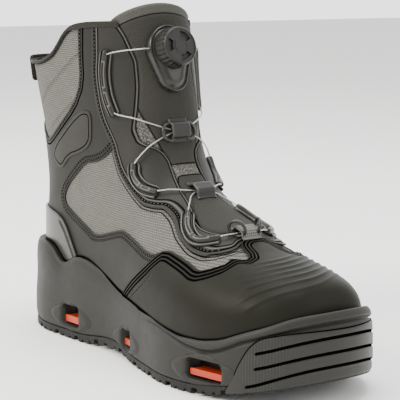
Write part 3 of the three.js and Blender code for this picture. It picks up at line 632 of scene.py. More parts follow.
# Materials
class Paint:
    """A surface shader and the few node patterns that the boot's materials share."""

    def __init__(self, name, colour, roughness=0.7, metallic=0.0, coat=0.0, sheen=0.0, specular=0.5):
        self.material = bpy.data.materials.new(name)
        self.material.use_nodes = True
        self.tree = self.material.node_tree
        self.surface = self.tree.nodes["Principled BSDF"]
        self.set("Base Color", (*colour, 1.0))
        self.set("Roughness", roughness)
        self.set("Metallic", metallic)
        self.set("Specular IOR Level", specular)
        if coat:
            self.set("Coat Weight", coat)
            self.set("Coat Roughness", 0.25)
        if sheen:
            self.set("Sheen Weight", sheen)
            self.set("Sheen Roughness", 0.5)
        self.specular = specular
        self.height = None
        self.dullness = None

    def set(self, socket, value):
        self.surface.inputs[socket].default_value = value

    def node(self, kind, **settings):
        node = self.tree.nodes.new("ShaderNode" + kind)
        for key, value in settings.items():
            setattr(node, key, value)
        return node

    def link(self, value, socket):
        if isinstance(value, (int, float)):
            socket.default_value = value
        else:
            self.tree.links.new(value, socket)

    def math(self, operation, a, b=0.0, c=0.0):
        node = self.node("Math", operation=operation)
        for value, socket in zip((a, b, c), node.inputs):
            self.link(value, socket)
        return node.outputs[0]

    def field(self, name):
        return self.node("Attribute", attribute_name=name).outputs["Fac"]

    def place(self):
        """X, Y and Z on the piece, in millimetres."""
        split = self.node("SeparateXYZ")
        self.tree.links.new(self.node("TexCoord").outputs["Object"], split.inputs[0])
        return [self.math("MULTIPLY", axis, 1 / METRE) for axis in split.outputs]

    def texture(self, kind, scale):
        """A texture whose pattern is about the given size in millimetres."""
        mapping = self.node("Mapping")
        self.tree.links.new(self.node("TexCoord").outputs["Object"], mapping.inputs[0])
        mapping.inputs["Scale"].default_value = [1 / (METRE * scale)] * 3
        texture = self.node(kind)
        texture.inputs["Scale"].default_value = 1.0
        self.tree.links.new(mapping.outputs[0], texture.inputs["Vector"])
        return texture

    def noise(self, scale, detail=3.0):
        noise = self.texture("TexNoise", scale)
        noise.inputs["Detail"].default_value = detail
        return noise.outputs["Fac"]

    def cells(self, scale):
        return self.texture("TexVoronoi", scale).outputs["Distance"]

    def wave(self, value, pitch, shift=0.0):
        """A wave from 0 to 1 along a value, once each pitch."""
        turn = self.math("MULTIPLY_ADD", value, 2 * math.pi / pitch, shift)
        return self.math("MULTIPLY_ADD", self.math("SINE", turn), 0.5, 0.5)

    def ranged(self, value, numbers, kind="LINEAR"):
        node = map_range(self.tree, numbers, kind)
        self.link(value, node.inputs["Value"])
        return node.outputs["Result"]

    def band(self, value, centre, half, soft=0.25):
        """1 where the value is within half of the centre, else 0."""
        return self.below(self.math("ABSOLUTE", self.math("SUBTRACT", value, centre)), half, soft)

    def above(self, value, edge, soft=0.25):
        return self.ranged(value, (edge - soft, edge + soft), "SMOOTHSTEP")

    def below(self, value, edge, soft=0.25):
        return self.ranged(value, (edge + soft, edge - soft), "SMOOTHSTEP")

    def both(self, a, b):
        """The part of one factor that another lets through."""
        return self.math("MULTIPLY", a, b)

    def carry(self, socket, into, out):
        """Leads what a socket has now into a node, and that node's result back to it."""
        target = self.surface.inputs[socket]
        if target.is_linked:
            self.tree.links.new(target.links[0].from_socket, into)
        else:
            value = target.default_value
            into.default_value = value[:3] if len(into.default_value) == 3 else value
        self.tree.links.new(out, target)

    def blend(self, factor, colour, share=1.0):
        """Lays a share of a colour over what the surface has so far."""
        mix = self.node("Mix", data_type="RGBA")
        self.link(self.both(factor, share) if share < 1 else factor, mix.inputs["Factor"])
        self.carry("Base Color", mix.inputs["A"], mix.outputs["Result"])
        mix.inputs["B"].default_value = (*colour, 1.0)

    def shade(self, factor, low, high):
        """Multiplies the colour by low to high as the factor goes from 0 to 1."""
        scale = self.node("VectorMath", operation="SCALE")
        self.carry("Base Color", scale.inputs[0], scale.outputs[0])
        self.link(self.ranged(factor, (0, 1, low, high)), scale.inputs["Scale"])

    def rough(self, factor, low, high):
        self.link(self.ranged(factor, (0, 1, low, high)), self.surface.inputs["Roughness"])

    def raise_by(self, height, millimetres):
        """Adds a height pattern to the bump."""
        step = self.both(height, float(millimetres))
        self.height = step if self.height is None else self.math("ADD", self.height, step)

    def groove(self, factor, depth=0.0, dull=True):
        """Painted shade: a dark line where the factor is 1, sunk by its depth and as a rule without
        highlights, as the shade of a groove.
        """
        self.blend(factor, PAINTED_SHADE)
        if depth:
            self.raise_by(factor, -depth)
        if dull:
            self.dullness = factor if self.dullness is None else self.math("MAXIMUM", self.dullness, factor)

    def done(self):
        if self.dullness is not None:
            level = self.math("MULTIPLY_ADD", self.dullness, -self.specular, self.specular)
            self.tree.links.new(level, self.surface.inputs["Specular IOR Level"])
        if self.height is not None:
            bump = self.node("Bump")
            bump.inputs["Distance"].default_value = METRE
            bump.inputs["Strength"].default_value = 1.0
            self.tree.links.new(self.height, bump.inputs["Height"])
            self.tree.links.new(bump.outputs[0], self.surface.inputs["Normal"])
        return self.material


KNIT_ROW = 1.5
KNIT_LOOP = 1.8


def knit_paint(name, colour):
    paint = Paint(name, colour, 0.85, specular=0.12)
    _, y, z = paint.place()
    slope = paint.math("MULTIPLY_ADD", y, -0.05, z)
    wander = paint.math("MULTIPLY_ADD", paint.noise(9.0), 1.2, slope)
    rib = paint.wave(wander, KNIT_ROW)
    row = paint.math("FLOOR", paint.math("MULTIPLY_ADD", wander, 1 / KNIT_ROW, 0.25))
    loop = paint.wave(paint.math("MULTIPLY_ADD", row, KNIT_LOOP / 2, y), KNIT_LOOP)
    cloth = paint.both(rib, paint.math("MULTIPLY_ADD", loop, 0.85, 0.15))
    paint.shade(cloth, 0.6, 1.65)
    paint.shade(paint.noise(1.3, 2.0), 0.62, 1.36)
    paint.shade(paint.noise(14.0), 0.9, 1.08)
    paint.raise_by(cloth, 0.4)
    return paint


def celled(paint, scale, low, high, relief):
    """The paint with a cloth's small cells in it."""
    cells = paint.cells(scale)
    paint.shade(cells, low, high)
    paint.raise_by(cells, relief)
    return paint


def coated_paint(name, colour, roughness, specular=0.18):
    """Smooth coated synthetic with a fine grain."""
    paint = Paint(name, colour, roughness, specular=specular)
    grain = paint.cells(0.7)
    paint.shade(paint.noise(26.0), 0.9, 1.1)
    paint.shade(grain, 0.95, 1.03)
    paint.rough(paint.noise(11.0), roughness - 0.06, roughness + 0.08)
    paint.raise_by(grain, 0.035)
    return paint


def moulded_paint(name, colour, roughness, coat=0.0, grain=0.02, specular=0.2):
    paint = Paint(name, colour, roughness, coat=coat, specular=specular)
    paint.shade(paint.noise(30.0), 0.92, 1.08)
    paint.rough(paint.noise(6.0), roughness - 0.05, roughness + 0.08)
    paint.raise_by(paint.noise(0.9, 2.0), grain * 4)
    return paint


GREY_MESH = (0.130, 0.1245, 0.112)
DARK_COAT = (0.0170, 0.0164, 0.0130)
EYESTAY_COAT = (0.0198, 0.0192, 0.0155)
PATCH_COAT = (0.0235, 0.0218, 0.0175)
VAMP_DARK = (0.0105, 0.0104, 0.0068)
COUNTER_GREY = (0.030, 0.0286, 0.024)
MIDSOLE_GREY = (0.0180, 0.0172, 0.0146)
BUMPER_GREY = (0.0170, 0.0164, 0.0138)
TONGUE_GREY = (0.060, 0.058, 0.051)
BINDING_GREY = (0.066, 0.0635, 0.055)
PLATE_DARK = (0.0262, 0.0255, 0.0208)
WEB_DARK = (0.020, 0.0195, 0.0175)
PULL_DARK = (0.026, 0.0253, 0.0222)
WEB_LIGHT = (0.17, 0.165, 0.15)
DIAL_DARK = (0.0135, 0.0122, 0.0100)
GUIDE_DARK = (0.022, 0.0208, 0.0170)
LINING_DARK = (0.014, 0.014, 0.0135)
OUTSOLE_DARK = (0.014, 0.014, 0.013)
LIGHT_TRIM = (0.20, 0.195, 0.175)
# Painted shade: near-black laid into grooves, gaps, slots, holes and creases.
PAINTED_SHADE = (0.0015, 0.0015, 0.0014)
THREAD = (0.045, 0.044, 0.039)
ORANGE = (0.42, 0.030, 0.006)


def line_fields(paint, field, lines, half, depth):
    """Grooves at set distances from an edge, painted dark as their shade."""
    for at in lines:
        paint.groove(paint.band(paint.field(field), at, half), depth)


# Upper
quarter_shape = side_shape(QUARTER_WINDOW)
rear_shape = side_shape(REAR_WINDOW)
eyestay_shape = side_shape(EYESTAY_AREA)
ankle_shape = side_shape(ANKLE_AREA)
vamp_shape = side_shape(VAMP_AREA, 1)
vamp_top_shape = top_shape(VAMP_TOP_AREA)
counter_shape = side_shape(COUNTER_AREA)


def area_field(shape, side=1.0):
    """Distance inside a side view outline, or outside it with side -1."""
    return lambda surface: side * inside(shape, surface.y, surface.z)


def throat_of(surface):
    return throat_distance(surface.s, surface.a, surface.x)


def edge_of(surface):
    """Distance from the collar and the throat, positive on the upper."""
    return np.minimum(collar_height(surface.y) - surface.z, throat_of(surface))


def above_sole(surface):
    """Height over the midsole's top edge."""
    return surface.z - midsole_edge(0.5 - surface.y / SOLE_LENGTH)


# Painted shade: a dark band without highlights on the lowest 1.6 mm or so of the upper, where it meets the
# midsole's top edge.
def painted_sole_shade(paint):
    paint.groove(paint.below(paint.field("sole"), 1.6, 0.9))


def upper_body():
    paint = knit_paint("quarter_knit", GREY_MESH)
    _, y, z = paint.place()
    # Quilting: diagonal creases above 150 mm high, sunk in the bump and darkened as painted shade.
    slant = paint.math("MULTIPLY_ADD", y, 0.62, z)
    quilt_crease_shade = paint.both(paint.above(paint.wave(slant, 27.0, 1.0), 0.965, 0.03), paint.above(z, 150.0, 3.0))
    paint.shade(quilt_crease_shade, 1.0, 0.82)
    paint.raise_by(quilt_crease_shade, -0.7)
    # Painted shade: dark sunk lines just outside the eyestay's edge.
    line_fields(paint, "eyestay", (-1.6, -3.4), 0.3, 0.3)
    paint.blend(paint.below(paint.field("rim"), 2.6, 0.3), EYESTAY_COAT)
    last_sheet(
        "upper_body", np.linspace(0, LAST_STATION, 200), turns(180), 0.1 - MESH_RECESS, edge_of,
        WALL - MESH_RECESS, paint.done(), "upper_fabric",
        {"eyestay": area_field(eyestay_shape), "rim": edge_of}, bulge=0.8, rings=4, replaces=["upper"])


def upper_lining():
    paint = celled(Paint("lining_cloth", LINING_DARK, 0.9, sheen=0.1, specular=0.2), 1.6, 0.8, 1.25, 0.2)

    def offset(s, a):
        x, y, z = np.moveaxis(last_point(s, a), -1, 0)
        drop = collar_height(y) - z
        pad = 3.2 * smoothstep(0, 9, drop) * (1 - smoothstep(45, 62, drop))
        pad = pad * (1 - 0.5 * np.exp(-((drop - 26) / 2.2) ** 2))
        return -WALL - 0.15 - pad * smoothstep(2, 12, throat_distance(s, a, x))

    return last_sheet(
        "upper_lining", np.linspace(0, LAST_STATION, 170), turns(140), offset,
        lambda surface: edge_of(surface) - 0.2, 0, paint.done(), "upper_fabric")


def quarter_overlay():
    paint = coated_paint("quarter_coat", DARK_COAT, 0.55)
    # Painted shade: dark sunk seam lines round the windows, and a dark band where the overlay meets the
    # midsole.
    for field in ("window", "rear"):
        line_fields(paint, field, QUARTER_SEAMS, 0.62, 0.5)
    painted_sole_shade(paint)
    window, rear = area_field(quarter_shape, -1.0), area_field(rear_shape, -1.0)
    last_sheet(
        "quarter_overlay", np.linspace(4.8, LAST_STATION, 230), turns(240), 0.05,
        lambda surface: least(edge_of(surface), window(surface), rear(surface)), MESH_RECESS,
        paint.done(), "upper_fabric", {"window": window, "rear": rear, "sole": above_sole})


def eyestay_area(surface):
    toe_end = surface.y - between(EYESTAY_TOE, np.abs(surface.x))
    return np.minimum(inside(eyestay_shape, surface.y, surface.z), toe_end)


def eyestay():
    paint = coated_paint("eyestay_coat", EYESTAY_COAT, 0.48)
    # Painted shade: dark sunk lines along the seam, at 4.6 mm in and along the throat.
    line_fields(paint, "edge", (EYESTAY_SEAM,), 0.65, 0.4)
    paint.blend(paint.band(paint.field("edge"), 3.6, 0.25, 0.2), LIGHT_TRIM, 0.35)
    line_fields(paint, "edge", (4.6,), 0.3, 0.3)
    paint.blend(paint.band(paint.field("throat"), 0.3, 0.25, 0.2), LIGHT_TRIM, 0.32)
    line_fields(paint, "throat", (1.2,), 0.3, 0.3)
    last_sheet(
        "eyestay", np.linspace(5.2, LAST_STATION, 210), np.radians(np.linspace(-88, 88, 150)), EYESTAY_RISE,
        lambda surface: least(edge_of(surface), eyestay_area(surface), 90 * np.cos(surface.a) + 20),
        1.0, paint.done(), "upper_fabric", {"edge": eyestay_area, "throat": throat_of}, bulge=0.35)


def ankle_patches():
    edge = area_field(ankle_shape)
    for name, side in SIDES:
        paint = coated_paint("ankle_patch_" + name, PATCH_COAT, 0.5)
        # Painted shade: a dark sunk line 2.2 mm in from the patch's edge.
        line_fields(paint, "edge", (2.2,), 0.4, 0.4)
        centre = math.pi / 2 * side
        last_sheet(
            "ankle_patch_" + name, np.linspace(12, 17, 90), np.linspace(centre - 1.2, centre + 1.2, 110),
            PATCH_RISE, lambda surface: edge(surface) - 0.2, 0.8, paint.done(), "upper_fabric",
            {"edge": edge}, bulge=0.5)


def vamp_area(surface):
    """Distance inside the vamp: its side view, and over the toe its view from above."""
    across = np.abs(surface.x)
    side = inside(vamp_shape, surface.y, surface.z)
    above = inside(vamp_top_shape, across, surface.y)
    return above + (side - above) * np.where(surface.z < 70, 1, smoothstep(22, 29, across))


def vamp_overlay():
    paint = coated_paint("vamp_coat", VAMP_DARK, 0.46, specular=0.09)
    # Painted shade: dark sunk lines along the edge, dark sunk dashes along a line 9.6 mm in, and a dark
    # band where the vamp meets the midsole.
    line_fields(paint, "edge", (1.2, 3.4, 5.6), 0.62, 0.8)
    _, y, z = paint.place()
    stub = paint.both(paint.band(paint.field("edge"), 9.6, 0.55, 0.3), paint.above(y, -34.0, 1.0))
    dashes = paint.math("MULTIPLY_ADD", paint.wave(paint.math("SUBTRACT", z, y), 3.6), 0.7, 0.3)
    paint.groove(paint.both(stub, dashes), 0.5, dull=False)
    painted_sole_shade(paint)

    def offset(s, a):
        x, y, z = np.moveaxis(last_point(s, a), -1, 0)
        run = -y + 0.014 * (x + 6) ** 2
        wave = np.abs(np.cos((run - RIDGES_FROM) / RIDGE_PITCH * math.pi)) ** 4
        fade = smoothstep(RIDGES_FROM - 3, RIDGES_FROM + 2, run)
        fade = fade * smoothstep(RIDGES_TO + 2, RIDGES_TO - 3, run)
        fade = fade * smoothstep(31, 42, 0.804 * x - 0.595 * y) * smoothstep(54, 60, z)
        return FIT + VAMP_THICKNESS + RIDGE_RISE * wave * fade * smoothstep(46, 36, x)

    def trimmed(surface):
        mouth = (6.15 - surface.s) * 22 + 320 * (1 - np.cos(surface.a))
        foot = above_sole(surface) + 0.9 + 14 * smoothstep(-12, -48, surface.y)
        return least(vamp_area(surface), mouth, foot)

    last_sheet(
        "vamp_overlay", np.concatenate([np.linspace(0, 5.2, 190), np.linspace(5.24, 10.2, 90)]),
        np.radians(np.linspace(-128, 128, 250)), offset, trimmed, VAMP_THICKNESS, paint.done(),
        "vamp_skin", {"edge": vamp_area, "sole": above_sole}, bulge=0.4, replaces=["vamp_overlay"])


def heel_counter():
    paint = moulded_paint("counter_shell", COUNTER_GREY, 0.34, coat=0.35)
    _, y, _ = paint.place()
    # Painted shade: a dark sunk slot about 1.3 to 4.5 mm inside the counter's front edge, and a dark band
    # where it meets the midsole.
    paint.groove(paint.both(paint.band(paint.field("edge"), 2.9, 1.6, 0.3), paint.below(y, 99.0, 2.0)), 1.2)
    painted_sole_shade(paint)
    edge = area_field(counter_shape)
    last_sheet(
        "heel_counter", np.linspace(9.5, 15.6, 120), np.radians(np.linspace(80, 280, 170)),
        FIT + COUNTER_THICKNESS, edge, COUNTER_THICKNESS, paint.done(), "counter_plastic",
        {"edge": edge, "sole": above_sole}, bulge=0.6, rings=4, replaces=["heel_counter"])


# Tongue
def tongue_grid(stations, shares):
    """Stations and angles whose points lie at shares of the tongue's half width."""
    s, t = np.meshgrid(stations, shares, indexing="ij")
    half = smooth_between(TONGUE_EDGE, s, 0.2) * BALL_WIDTH
    _, _, lateral, medial, form = section(s)
    width = np.where(t > 0, medial, lateral)
    angle = np.arcsin(np.clip(np.abs(t) * half / width, 0, 1) ** (form[..., 1] / 2)) * np.sign(t)
    return s, angle


def tongue():
    paint = Paint("tongue_cloth", TONGUE_GREY, 0.7, specular=0.15)
    speckle = paint.noise(1.1, 1.0)
    paint.shade(paint.above(speckle, 0.5, 0.1), 0.5, 2.1)
    paint.raise_by(speckle, 0.5)
    ribbed = paint.wave(paint.field("cross"), 1.5)
    top = paint.field("top")
    binding = paint.band(top, 2.0, 5.2, 0.4)
    paint.blend(binding, BINDING_GREY)
    paint.shade(paint.math("MULTIPLY", binding, ribbed), 1.0, 0.78)
    plate = paint.above(paint.field("plate"), 0.0, 0.35)
    paint.blend(plate, PLATE_DARK)
    # Painted shade: a dark sunk line 0.9 mm inside the plate's edge.
    line_fields(paint, "plate", (0.9,), 0.3, 0.25)
    piping = paint.both(paint.band(paint.field("plate"), -1.4, 0.6, 0.3), paint.below(top, 160.0, 1.0))
    paint.blend(piping, BINDING_GREY, 0.6)
    s, a = tongue_grid(np.linspace(5.9, LAST_STATION, 230), np.linspace(-1, 1, 90))
    x, _, z = np.moveaxis(last_point(s, a), -1, 0)
    throat = smooth_between(THROAT_EDGE, s, 0.2) * BALL_WIDTH
    free = smoothstep(-2.5, 3.5, throat - np.abs(x))
    crown = TONGUE_BULGE * free + 1.2 * free * (1 - np.clip(np.abs(x) / np.maximum(throat, 1), 0, 1) ** 2)
    arc = TONGUE_TOP_FOOT + TONGUE_TOP_RISE * np.clip(1 - (x / TONGUE_TOP_HALF) ** 2, 0, 1) ** 0.6
    below = arc - z
    upper_plate = least(between(UPPER_PLATE, z) - np.abs(x), below - 7, z - 131)
    lower_plate = least(between(LOWER_PLATE, z) - np.abs(x), 125 - z)
    plate = np.maximum(upper_plate, lower_plate)
    offset = (-WALL - FIT) * (1 - free) + crown
    offset = offset + 0.5 * smoothstep(-0.4, 0.5, plate) * free - 0.5 * np.exp(-((below - 7.5) / 1.2) ** 2)
    data = with_fields(off_last(s, a, offset), last_normal(s, a), below, plate, x, 5.0 + 2.5 * free)
    rows, kept = clipped(data, facing_out(data, grid_faces(*s.shape, False)), data[:, 6] - 2.5)
    add_shell("tongue", rows, kept, rows[:, 9], 2.4, 8, paint.done(), "tongue_fabric",
              ("top", "plate", "cross"), replaces=["tongue"], pad=0.5)


# Sole
def outline_at(share):
    rows = np.concatenate([SOLE_OUTLINE[-1:], SOLE_OUTLINE, SOLE_OUTLINE[:3]])
    row = catmull_rom(rows, np.asarray(share) * len(SOLE_OUTLINE) + 1)
    return np.stack([row[..., 1] * BALL_WIDTH, from_heel(row[..., 0])], axis=-1)


def outline_ring(count):
    """Points round the sole, evenly spaced, with the ways inward."""
    fine = outline_at(np.linspace(0, 1, 4000, endpoint=False))
    fine = np.concatenate([fine, fine[:1]])
    ring = sampled(fine, np.linspace(0, lengths(fine)[-1], count, endpoint=False))
    along = unit(np.roll(ring, -1, axis=0) - np.roll(ring, 1, axis=0))
    return ring, np.stack([-along[:, 1], along[:, 0]], axis=-1)


def ground_line(u):
    heel = HEEL_BEVEL * (1 - np.clip(u, 0, 0.065) / 0.065) ** 2
    arch = ARCH_RISE * np.sin(np.clip((u - 0.28) / 0.28, 0, 1) * math.pi) ** 2
    toe = TOE_SPRING * (np.clip(u - 0.735, 0, 0.265) / 0.265) ** 1.6
    return heel + arch + toe


def midsole_bottom(u):
    return ground_line(u) + LUG_DEPTH + OUTSOLE_PLATE + FIT


def midsole_edge(u):
    return smooth_between(MIDSOLE_TOP, u, 0.012) * LAST_HEIGHT


SIDE_PROFILE = [
    [0.00, 1.4], [0.03, 0.5], [0.08, 0.0], [0.30, 0.0], [0.60, 0.3], [0.80, 0.9], [0.90, 1.5],
    [0.96, 2.2], [1.00, 3.4],
]


def rounded_box(y, z, y0, y1, z0, z1, radius):
    """Distance to a rounded rectangle, positive inside."""
    qy = np.abs(y - (y0 + y1) / 2) - (y1 - y0) / 2 + radius
    qz = np.abs(z - (z0 + z1) / 2) - (z1 - z0) / 2 + radius
    outside = np.hypot(np.maximum(qy, 0), np.maximum(qz, 0))
    return radius - outside - np.minimum(np.maximum(qy, qz), 0)


def port_box(port):
    """The opening's front and back, and its low and high edge, in millimetres."""
    start, end, low, high = port
    ground = ground_line(np.array((start + end) / 2))
    return from_heel(end), from_heel(start), low * LAST_HEIGHT + ground, high * LAST_HEIGHT + ground


def wall_points(ring, inward, inset, z):
    return np.concatenate([ring[None] + inward[None] * inset[..., None], z[..., None]], axis=-1)


def midsole():
    ring, inward = outline_ring(1000)
    u = 0.5 - ring[:, 1] / SOLE_LENGTH
    low, high = midsole_bottom(u), midsole_edge(u)
    levels = np.concatenate([[0, 0.01, 0.03], np.linspace(0.05, 0.62, 44), np.linspace(0.63, 1.0, 26)])
    share = levels[:, None]
    z = low + share * (high - low)
    y = np.broadcast_to(ring[:, 1], z.shape)
    inset = between(SIDE_PROFILE, share)
    port_field = np.full(z.shape, -60.0)
    lens_field = np.full(z.shape, -60.0)
    for port in PORTS.values():
        y0, y1, z0, z1 = port_box(port)
        distance = rounded_box(y, z, y0, y1, z0, z1, (z1 - z0) * 0.25)
        reach = (y1 - y0) / 2 + 15
        lens = 1 - np.abs(y - (y0 + y1) / 2) / reach - ((z - (z0 + z1) / 2 + 1.0) / (reach * 0.42)) ** 2
        outside = smoothstep(0.8, -0.8, distance)
        inset = inset + (PORT_DEPTH - 0.5) * smoothstep(-0.5, 0.7, distance)
        inset = inset - 0.9 * outside * smoothstep(-0.03, 0.22, lens)
        inset = inset + 0.5 * outside * np.exp(-((distance + 1.2) / 0.9) ** 2)
        port_field = np.maximum(port_field, distance)
        lens_field = np.maximum(lens_field, lens * reach * 0.42)
    away = z - smooth_between(LIP_CREASE, u, 0.01) * LAST_HEIGHT
    shown = smoothstep(0.575, 0.66, u)
    inset = inset + shown * (1.5 * np.exp(-(away / 1.1) ** 2) - 1.1 * smoothstep(0.5, 3.0, away))
    dish = np.exp(-((u - 0.10) * SOLE_LENGTH / 24) ** 2 - ((z - 40) / 11) ** 2)
    wall = wall_points(ring, inward, inset + 1.1 * dish, z)

    def moved(row, further_in, down):
        return row + np.column_stack([inward * further_in, np.full(len(row), -float(down))])

    rows = [moved(wall[0], 6, 0)] + list(wall) + [moved(wall[-1], *step) for step in MIDSOLE_RIM]
    fields = {"port": port_field, "lens": lens_field, "crease": np.where(u > 0.6, away, 30.0)}
    values = {key: np.pad(field, ((1, len(MIDSOLE_RIM)), (0, 0)), mode="edge").reshape(-1)
              for key, field in fields.items()}
    paint = moulded_paint("midsole_foam", MIDSOLE_GREY, 0.52, grain=0.03, specular=0.22)
    # Painted shade: the ports' insides, the lip crease and the lines round the lenses about the ports are
    # painted dark.
    paint.blend(paint.above(paint.field("port"), 0.9, 0.6), PAINTED_SHADE)
    paint.blend(paint.band(paint.field("crease"), 0.0, 0.6, 0.4), PAINTED_SHADE, 0.9)
    paint.blend(paint.band(paint.field("lens"), -0.2, 0.35, 0.35), PAINTED_SHADE, 0.5)
    faces = grid_faces(len(rows), len(ring), True)[:, ::-1].tolist()
    add_piece("midsole", np.array(rows).reshape(-1, 3), faces, paint.done(), "midsole_foam", values,
              replaces=["midsole"])


def toe_bumper():
    full, inward = outline_ring(1000)
    front = (0.5 - full[:, 1] / SOLE_LENGTH) > 0.845
    start = np.argmax(front)
    count = int(front.sum())
    order = (start + np.arange(count)) % len(full)
    ring, inward = full[order], inward[order]
    u = 0.5 - ring[:, 1] / SOLE_LENGTH
    low = ground_line(u) + LUG_DEPTH * 0.3
    high = midsole_edge(u)
    share = np.linspace(0, 1, 120)[:, None]
    z = low + share * (high - low)
    base = midsole_bottom(u)
    inset = between(SIDE_PROFILE[1:], (z - base) / (high - base)) - BUMPER_RISE
    y = np.broadcast_to(ring[:, 1], z.shape)
    ground = np.broadcast_to(ground_line(u), z.shape)
    groove = np.zeros(z.shape)
    for begins, height, toe_height in BUMPER_GROOVES:
        end = smoothstep(begins - 0.002, begins + 0.004, u)
        level = ground + height + (toe_height - height) * smoothstep(begins, 0.995, u)
        groove = np.maximum(groove, np.exp(-((z - level) / 1.0) ** 4) * end)
    inset = inset + 0.8 * groove + 0.8 * smoothstep(0.05, 0.0, share)
    edge = inside(side_shape(BUMPER_AREA), y, z)
    inset = inset + 0.7 * smoothstep(1.6, 0.0, edge)
    step = np.linalg.norm(np.diff(ring, axis=0, prepend=ring[:1]), axis=1)
    run = np.broadcast_to(np.minimum(np.cumsum(step), np.cumsum(step[::-1])[::-1]), z.shape)
    data = with_fields(wall_points(ring, inward, inset, z), np.column_stack([-inward, np.zeros(count)]),
                       groove, edge, run)
    rows, kept = clipped(data, grid_faces(*z.shape, False)[:, ::-1], data[:, 7])
    paint = moulded_paint("bumper_rubber", BUMPER_GREY, 0.4, grain=0.03, specular=0.28)
    # Painted shade: the grooves are painted dark without highlights, and a dark sunk line runs 0.5 mm
    # inside the top edge.
    paint.groove(paint.above(paint.field("groove"), 0.35, 0.2))
    line_fields(paint, "edge", (0.5,), 0.4, 0.3)
    ribs = paint.both(paint.wave(paint.field("round"), 1.9),
                      paint.band(paint.field("round"), 34.0, 17.0, 8.0))
    paint.raise_by(ribs, 0.25)
    add_shell("toe_bumper", rows, kept, 2.4, 0.15, 3, paint.done(), "bumper_rubber",
              ("groove", "edge", "round"), replaces=["toe_bumper"])


def plugs():
    ring, inward = outline_ring(1000)
    for name, port in PORTS.items():
        y0, y1, low, high = port_box(port)
        y0, y1 = y0 + FIT, y1 - FIT
        z0, z1 = low + FIT + (high - low) * PLUG_FOOT, low + (high - low) * PLUG_SHARE
        for side_name, side in SIDES:
            near = np.sign(ring[:, 0]) == side
            order = np.argsort(ring[near, 1])
            face = ring[near] + inward[near] * PLUG_RECESS
            y, z = np.meshgrid(np.linspace(y0, y1, 60), np.linspace(z0, z1, 24), indexing="ij")
            x = np.interp(y, ring[near, 1][order], face[order, 0])
            edge = rounded_box(y, z, y0, y1, z0, z1, (z1 - z0) * 0.3)
            data = with_fields(np.stack([x, y, z], axis=-1), [side, 0.0, 0.0])
            faces = grid_faces(*y.shape, False)
            if side < 0:
                faces = faces[:, ::-1]
            rows, kept = clipped(data, faces, (edge - 0.4).reshape(-1))
            paint = moulded_paint(f"plug_{name}_{side_name}", ORANGE, 0.35, coat=0.3)
            node = f"outsole_plug_{name}_{side_name}"
            add_shell(node, rows, kept, PORT_DEPTH - PLUG_RECESS - FIT, 0.4, 8, paint.done(),
                      "plug_plastic", replaces=[node])


def groove_lines(grooves, low, high, step, draft=0.35):
    """Coordinates from low to high with each groove's edges among them, and the grooves' depths there."""
    keys = {}
    for centre, width, depth in grooves:
        half = width / 2
        keys.update({centre - half - draft: 0.0, centre - half + draft: depth,
                     centre + half - draft: depth, centre + half + draft: 0.0})
    at = low
    while at <= high:
        if all(abs(at - centre) > width / 2 + 0.8 for centre, width, _ in grooves):
            keys[at] = 0.0
        at += step
    order = sorted(keys)
    return np.array(order), np.array([keys[k] for k in order])


def outsole():
    count = int(SOLE_LENGTH * 0.92 / GROOVE_PITCH)
    grooves = [(from_heel(0.06) - i * GROOVE_PITCH, GROOVE_WIDTH, 1.0) for i in range(count)]
    grooves += [(centre - GROOVE_PITCH * share, NOTCH_WIDTH, NOTCH_SHARE)
                for centre, _, _ in grooves for share in (0.33, 0.67)]
    y, cross = groove_lines(grooves, -SOLE_LENGTH / 2 - 3, SOLE_LENGTH / 2 + 3, 2.6)
    lengthwise = [(side * GROOVE_OFFSET, GROOVE_WIDTH, 1.0) for _, side in SIDES]
    x, along = groove_lines(lengthwise, -BALL_WIDTH * 0.53, BALL_WIDTH * 0.53, 2.2)
    turn = from_heel(0.4)
    bend = np.interp(y, [turn - 6, turn + 6], [GROOVE_BEND, -GROOVE_BEND])
    gy, gx = np.meshgrid(y, x, indexing="ij")
    place_y = gy - bend[:, None] * np.abs(gx) / BALL_WIDTH
    u = 0.5 - place_y / SOLE_LENGTH
    lengthwise = along[None] * smoothstep(0.03, 0.05, u) * smoothstep(0.97, 0.95, u)
    depth = np.maximum(np.broadcast_to(cross[:, None], gx.shape), lengthwise)
    z = ground_line(u) + depth * LUG_DEPTH
    top = ground_line(u) + LUG_DEPTH + OUTSOLE_PLATE
    ring, inward = outline_ring(400)
    edge = inside(ring + inward * OUTSOLE_INSET, gx, place_y)
    data = with_fields(np.stack([gx, place_y, z], axis=-1), [0.0, 0.0, -1.0], top - z)
    rows, kept = clipped(data, grid_faces(*gx.shape, False), edge.reshape(-1) - 0.3)
    paint = moulded_paint("outsole_rubber", OUTSOLE_DARK, 0.6, grain=0.05)
    tread = paint.both(paint.wave(paint.place()[1], 2.4), paint.above(paint.noise(2.0), 0.35, 0.2))
    paint.raise_by(tread, 0.15)
    add_shell("outsole", rows, facing_out(rows, kept), rows[:, 6], 0.35, 6, paint.done(),
              "outsole_rubber", replaces=["outsole"], smooth=False)


